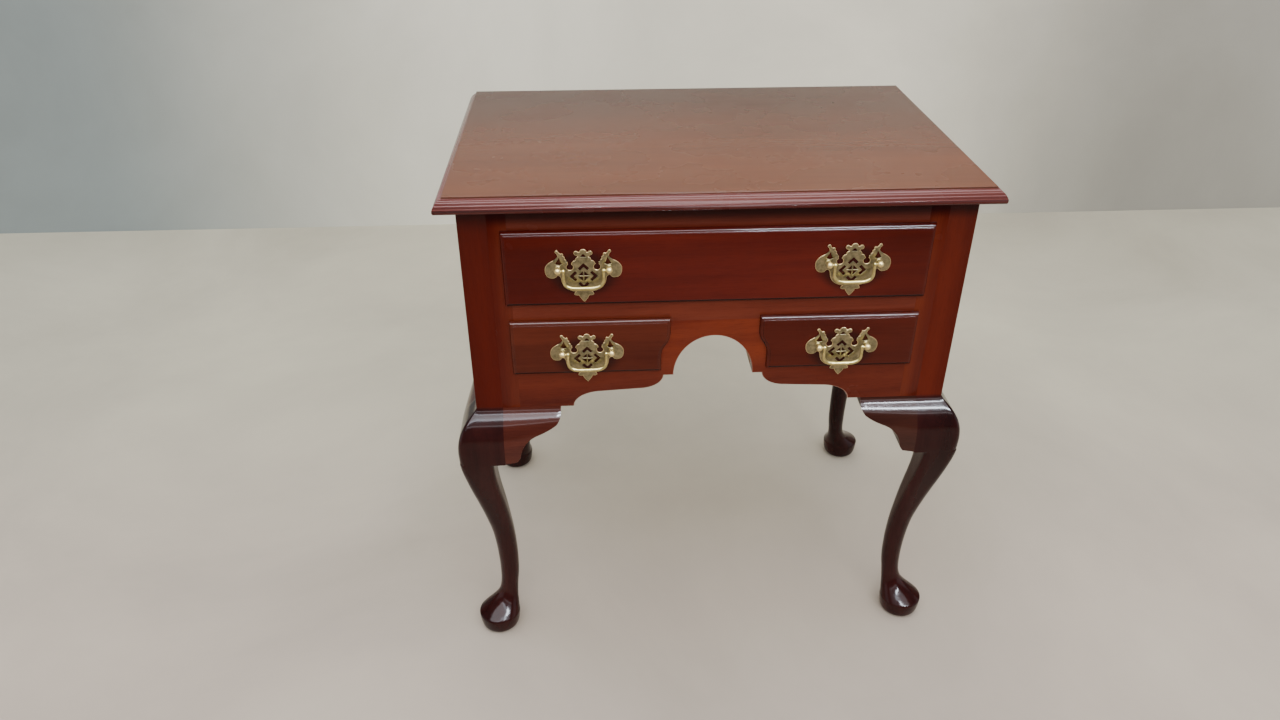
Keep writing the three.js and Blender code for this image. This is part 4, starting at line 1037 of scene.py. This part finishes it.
def fretted_plate(x, z):
    """A flat curve with holes, thickened and bevelled, made a mesh and stood up at x and z."""
    data = bpy.data.curves.new("plate outline", "CURVE")
    data.dimensions = "2D"
    data.fill_mode = "BOTH"
    half = plate_edge()
    outline = half + [(-px, pz) for px, pz in reversed(half[1:-1])]
    for points in [outline] + plate_holes():
        spline = data.splines.new("POLY")
        spline.points.add(len(points) - 1)
        for point, (px, pz) in zip(spline.points, points):
            point.co = (px * UNIT * mm, pz * UNIT * mm, 0.0, 1.0)
        spline.use_cyclic_u = True
    data.extrude = (PLATE_THICKNESS / 2 - PLATE_BEVEL) * mm
    data.bevel_depth = PLATE_BEVEL * mm
    data.bevel_resolution = 2
    data.offset = -PLATE_BEVEL * mm
    drawn = bpy.data.objects.new("plate outline", data)
    bpy.context.scene.collection.objects.link(drawn)
    bpy.context.view_layer.update()
    mesh = bpy.data.meshes.new_from_object(drawn.evaluated_get(bpy.context.evaluated_depsgraph_get()))
    bpy.data.objects.remove(drawn)
    bm = bmesh.new()
    bm.from_mesh(mesh)
    bpy.data.meshes.remove(mesh)
    bmesh.ops.rotate(bm, cent=(0, 0, 0), matrix=Matrix.Rotation(math.pi / 2, 3, "X"), verts=bm.verts)
    place = (x * mm, FRONT_FACE - PLATE_THICKNESS / 2 * mm, z * mm)
    bmesh.ops.translate(bm, vec=place, verts=bm.verts)
    bm.normal_update()
    inner = (((0.0, -0.375), 0.64), ((0.0, 0.5), 0.2), ((0.92, 0.25), 0.3), ((-0.92, 0.25), 0.3))

    def rubbed(face):
        """The outer rim only, since no hand reaches the rims of the holes."""
        px, _, pz = (face.calc_center_median() - Vector(place)) / (UNIT * mm)
        return abs(face.normal.y) < 0.97 and all(abs(px - cx) + abs(pz - cz) > r for (cx, cz), r in inner)

    mark(bm, "wear", rubbed)
    return bm


def turned(profile, x, y, z, sides):
    """A profile of radius and distance forwards, spun about the line through x and z."""
    bm = bmesh.new()
    verts = []
    for radius, forward in profile:
        verts += bmesh.ops.create_vert(bm, co=(radius * mm, -forward * mm, 0.0))["vert"]
    edges = []
    for a, b in zip(verts, verts[1:]):
        edges += bmesh.ops.contextual_create(bm, geom=[a, b])["edges"]
    bmesh.ops.spin(
        bm, geom=verts + edges, cent=(0, 0, 0), axis=(0, 1, 0), dvec=(0, 0, 0),
        angle=2 * math.pi, steps=sides, use_merge=True, use_duplicate=False,
    )
    bmesh.ops.translate(bm, vec=(x * mm, y, z * mm), verts=bm.verts)
    return bm


post_profile = [
    (0.0, -24.7), (1.6, -24.7), (2.0, -24.3), (2.0, -20.05), (2.0, 1.5), (3.4, 1.5), (3.5, 1.8), (3.5, 2.2),
    (3.3, 2.6), (2.9, 2.8), (2.6, 3.3), (2.3, 4.2), (2.15, 5.2), (2.3, 6.2), (2.75, 6.9), (3.0, 7.15),
    (3.0, 7.5),
]
head_centre = PLATE_THICKNESS + HEAD_STANDOFF
for step in range(0, 15):
    turn = math.radians(138 - step * 138 / 14)
    post_profile.append((4.2 * math.sin(turn) if step < 14 else 0.0, head_centre + 4.2 * math.cos(turn)))


def cylinder(bm, radius, depth, sides):
    return bmesh.ops.create_cone(
        bm, cap_ends=True, segments=sides, radius1=radius, radius2=radius, depth=depth
    )["verts"]


def bail_curve():
    """The bail's centre line from one post head round to the other, with how thick it is there."""
    half, drop = 24.8, 24.2
    stops = [
        ((half, 0.0), None),
        ((half, -4.0), None),
        ((half, -8.0), None),
        ((half, -drop / 2), None),
        ((half / 3, -drop), (half, -drop)),
        ((0.0, -drop), None),
    ]
    right = curved_edge(stops, 12)
    points = [(x, z, 1.65 + 0.85 * min(1.0, -z / drop) ** 2) for x, z in right]
    return points + [(-x, z, r) for x, z, r in reversed(points[:-1])]


def bail_mesh(x, z):
    data = bpy.data.curves.new("bail", "CURVE")
    data.dimensions = "3D"
    data.bevel_depth = 1.0 * mm
    data.bevel_resolution = 5
    data.use_fill_caps = True
    spline = data.splines.new("POLY")
    points = bail_curve()
    spline.points.add(len(points) - 1)
    for point, (px, pz, radius) in zip(spline.points, points):
        point.co = (px * mm, 0.0, pz * mm, 1.0)
        point.radius = radius
    drawn = bpy.data.objects.new("bail", data)
    bpy.context.scene.collection.objects.link(drawn)
    bpy.context.view_layer.update()
    mesh = bpy.data.meshes.new_from_object(drawn.evaluated_get(bpy.context.evaluated_depsgraph_get()))
    bpy.data.objects.remove(drawn)
    bm = bmesh.new()
    bm.from_mesh(mesh)
    bpy.data.meshes.remove(mesh)
    for sign in (-1, 1):
        knuckle = bmesh.ops.create_uvsphere(bm, u_segments=20, v_segments=12, radius=2.7 * mm)["verts"]
        bmesh.ops.translate(bm, vec=(sign * 24.8 * mm, 0, 0), verts=knuckle)
        pin = cylinder(bm, 1.4 * mm, 6.0 * mm, 16)
        bmesh.ops.rotate(bm, cent=(0, 0, 0), matrix=Matrix.Rotation(math.pi / 2, 3, "Y"), verts=pin)
        bmesh.ops.translate(bm, vec=(sign * 27.7 * mm, 0, 0), verts=pin)
    bmesh.ops.translate(bm, vec=(x * mm, FRONT_FACE - head_centre * mm, z * mm), verts=bm.verts)
    return bm


HEAD_FRONT = FRONT_FACE - 7.3 * mm
pulls = [(name, x, z, drawer) for drawer, set_on in pull_places.items() for name, (x, z) in set_on.items()]
for name, x, z, drawer in pulls:
    bm = fretted_plate(x, z)
    solid = f"{name}_pull"
    finished(bm, f"{name}_pierced_plate", drawer, plate_brass, (f"{solid}_plate",), 30.0)
    for side, sign in (("left", -1), ("right", 1)):
        bm = turned(post_profile, x + sign * UNIT, FRONT_FACE, z, 32)
        mark(bm, "wear", lambda face: face.calc_center_median().y < HEAD_FRONT)
        nut = cylinder(bm, 5.6 * mm, 3.0 * mm, 4)
        bmesh.ops.rotate(bm, cent=(0, 0, 0), matrix=Matrix.Rotation(math.pi / 2, 3, "X"), verts=nut)
        bmesh.ops.rotate(bm, cent=(0, 0, 0), matrix=Matrix.Rotation(math.pi / 4, 3, "Y"), verts=nut)
        bmesh.ops.translate(bm, vec=((x + sign * UNIT) * mm, FRONT_FACE + 21.6 * mm, z * mm), verts=nut)
        replaced = (f"{solid}_post_{side}",)
        finished(bm, f"{name}_turned_post_{side}", drawer, head_brass, replaced, 40.0)
    bm = bail_mesh(x, z)
    replaced = (f"{solid}_bail",)
    finished(bm, f"{name}_swinging_bail", f"{name}_bail", bright_brass, replaced, 45.0)


# The floor and the wall behind are plain pale cement. Soft light comes from the open side of the room,
# low in front, and from strips under the ceiling, which draw the bright lines along the mouldings.
def cement(name, dark, light, axis, tints):
    """Pale cement, cloudy, tinted along one axis by colours that each belong to a place on it."""
    material = bpy.data.materials.new(name)
    material.use_nodes = True
    tree = material.node_tree
    place = node(tree, "TexCoord")
    clouds = node(tree, "TexNoise", {"Scale": 1.3, "Detail": 6.0, "Roughness": 0.6, "Distortion": 0.4})
    tree.links.new(place.outputs["Object"], clouds.inputs["Vector"])
    colour = ramp(tree, clouds.outputs["Fac"], [(0.32, dark), (0.68, light)])
    spot = node(tree, "SeparateXYZ")
    tree.links.new(place.outputs["Object"], spot.inputs[0])
    first, last = tints[0][0], tints[-1][0]
    along = node(tree, "MapRange", {"From Min": first, "From Max": last}, interpolation_type="LINEAR")
    tree.links.new(spot.outputs[axis], along.inputs["Value"])
    stops = [((at - first) / (last - first), tint) for at, tint in tints]
    tint = ramp(tree, along.outputs["Result"], stops)
    tint.color_ramp.interpolation = "EASE"
    both = node(tree, "Mix", {"Factor": 1.0}, data_type="RGBA", blend_type="MULTIPLY")
    tree.links.new(colour.outputs["Color"], both.inputs["A"])
    tree.links.new(tint.outputs["Color"], both.inputs["B"])
    shader = tree.nodes["Principled BSDF"]
    tree.links.new(both.outputs["Result"], shader.inputs["Base Color"])
    shader.inputs["Roughness"].default_value = 0.75
    return material


def set_panel(name, material, place, turn):
    bm = bmesh.new()
    bmesh.ops.create_grid(bm, x_segments=1, y_segments=1, size=PANEL_HALF)
    mesh = bpy.data.meshes.new(name)
    bm.to_mesh(mesh)
    bm.free()
    mesh.materials.append(material)
    panel = bpy.data.objects.new(name, mesh)
    panel.location = place
    panel.rotation_euler = turn
    bpy.context.scene.collection.objects.link(panel)
    return panel


PANEL_HALF = 5.0
WALL_Y = 1.36
floor_tints = [(2.6, (0.92, 0.84, 0.81)), (3.3, (0.97, 0.92, 0.88)), (4.3, (0.95, 0.985, 0.89))]
# The wall is painted darker and bluer towards both ends: painted shade, where less light falls on it.
wall_tints = [
    (-1.6, (0.3, 0.36, 0.4)),
    (-0.5, (0.98, 1.0, 0.98)),
    (0.6, (1.0, 1.0, 0.96)),
    (1.5, (0.42, 0.42, 0.41)),
]
floor_paint = cement("floor cement", (0.44, 0.395, 0.34), (0.59, 0.54, 0.465), "Y", floor_tints)
wall_paint = cement("wall plaster", (0.72, 0.695, 0.61), (0.9, 0.87, 0.78), "X", wall_tints)
floor = set_panel("floor", floor_paint, (0.0, WALL_Y - PANEL_HALF, 0.0), (0.0, 0.0, 0.0))
wall = set_panel("wall", wall_paint, (0.0, WALL_Y, PANEL_HALF), (math.pi / 2, 0.0, 0.0))

world = bpy.data.worlds.new("studio")
world.use_nodes = True
world.node_tree.nodes["Background"].inputs["Color"].default_value = (0.93, 0.96, 1.0, 1.0)
world.node_tree.nodes["Background"].inputs["Strength"].default_value = 0.3
bpy.context.scene.world = world


def area_light(name, place, target, width, height, power, colour, seen):
    """A soft rectangular lamp, which lights the matt colours or is seen in the polish, or both."""
    data = bpy.data.lights.new(name, "AREA")
    data.shape = "RECTANGLE"
    data.size, data.size_y = width, height
    data.energy = power
    data.color = colour
    lamp = bpy.data.objects.new(name, data)
    lamp.location = place
    lamp.rotation_euler = (Vector(target) - Vector(place)).to_track_quat("-Z", "Y").to_euler()
    lamp.visible_diffuse = "matt" in seen
    lamp.visible_glossy = "polish" in seen
    bpy.context.scene.collection.objects.link(lamp)


COOL = (0.95, 0.95, 1.0)
BLUE = (0.82, 0.9, 1.0)
WARM = (1.0, 0.97, 0.94)
area_light("open side of the room", (0.2, -3.4, 3.4), (0.0, 0.0, 0.4), 4.0, 1.8, 119.0, WARM, "matt")
area_light("ceiling", (0.0, -0.5, 3.2), (0.0, -0.5, 0.0), 4.5, 3.0, 90.0, WARM, "matt")
area_light("bright ceiling", (-0.68, -0.38, 3.0), (-0.68, -0.38, 0.0), 3.64, 3.34, 306.0, COOL, "polish")
area_light("dim ceiling", (1.82, -0.38, 3.0), (1.82, -0.38, 0.0), 1.36, 3.34, 66.0, COOL, "polish")
area_light("right tube", (1.45, -2.3, 3.0), (1.45, -2.3, 0.0), 1.9, 0.22, 200.0, BLUE, "polish")
area_light("left tube", (-0.85, -2.2, 3.0), (-0.85, -2.2, 0.0), 2.7, 0.28, 44.0, BLUE, "polish")
area_light("front ceiling", (0.0, -2.85, 3.0), (0.0, -2.85, 0.0), 6.0, 0.8, 12.0, COOL, "polish")
area_light("far window", (0.0, -3.55, 3.0), (0.0, -3.55, 0.0), 6.0, 0.35, 38.0, COOL, "polish")
area_light("left board", (-2.4, 0.2, 1.0), (0.0, 0.0, 0.3), 2.6, 2.0, 16.0, COOL, "matt")
area_light("right board", (2.4, 0.2, 1.0), (0.0, 0.0, 0.3), 2.6, 2.0, 16.0, COOL, "matt")
area_light("left board in the polish", (-2.4, -0.6, 0.6), (0.0, -0.2, 0.2), 2.0, 1.2, 6.0, COOL, "polish")
area_light("right board in the polish", (2.4, -0.6, 0.6), (0.0, -0.2, 0.2), 2.0, 1.2, 6.0, COOL, "polish")
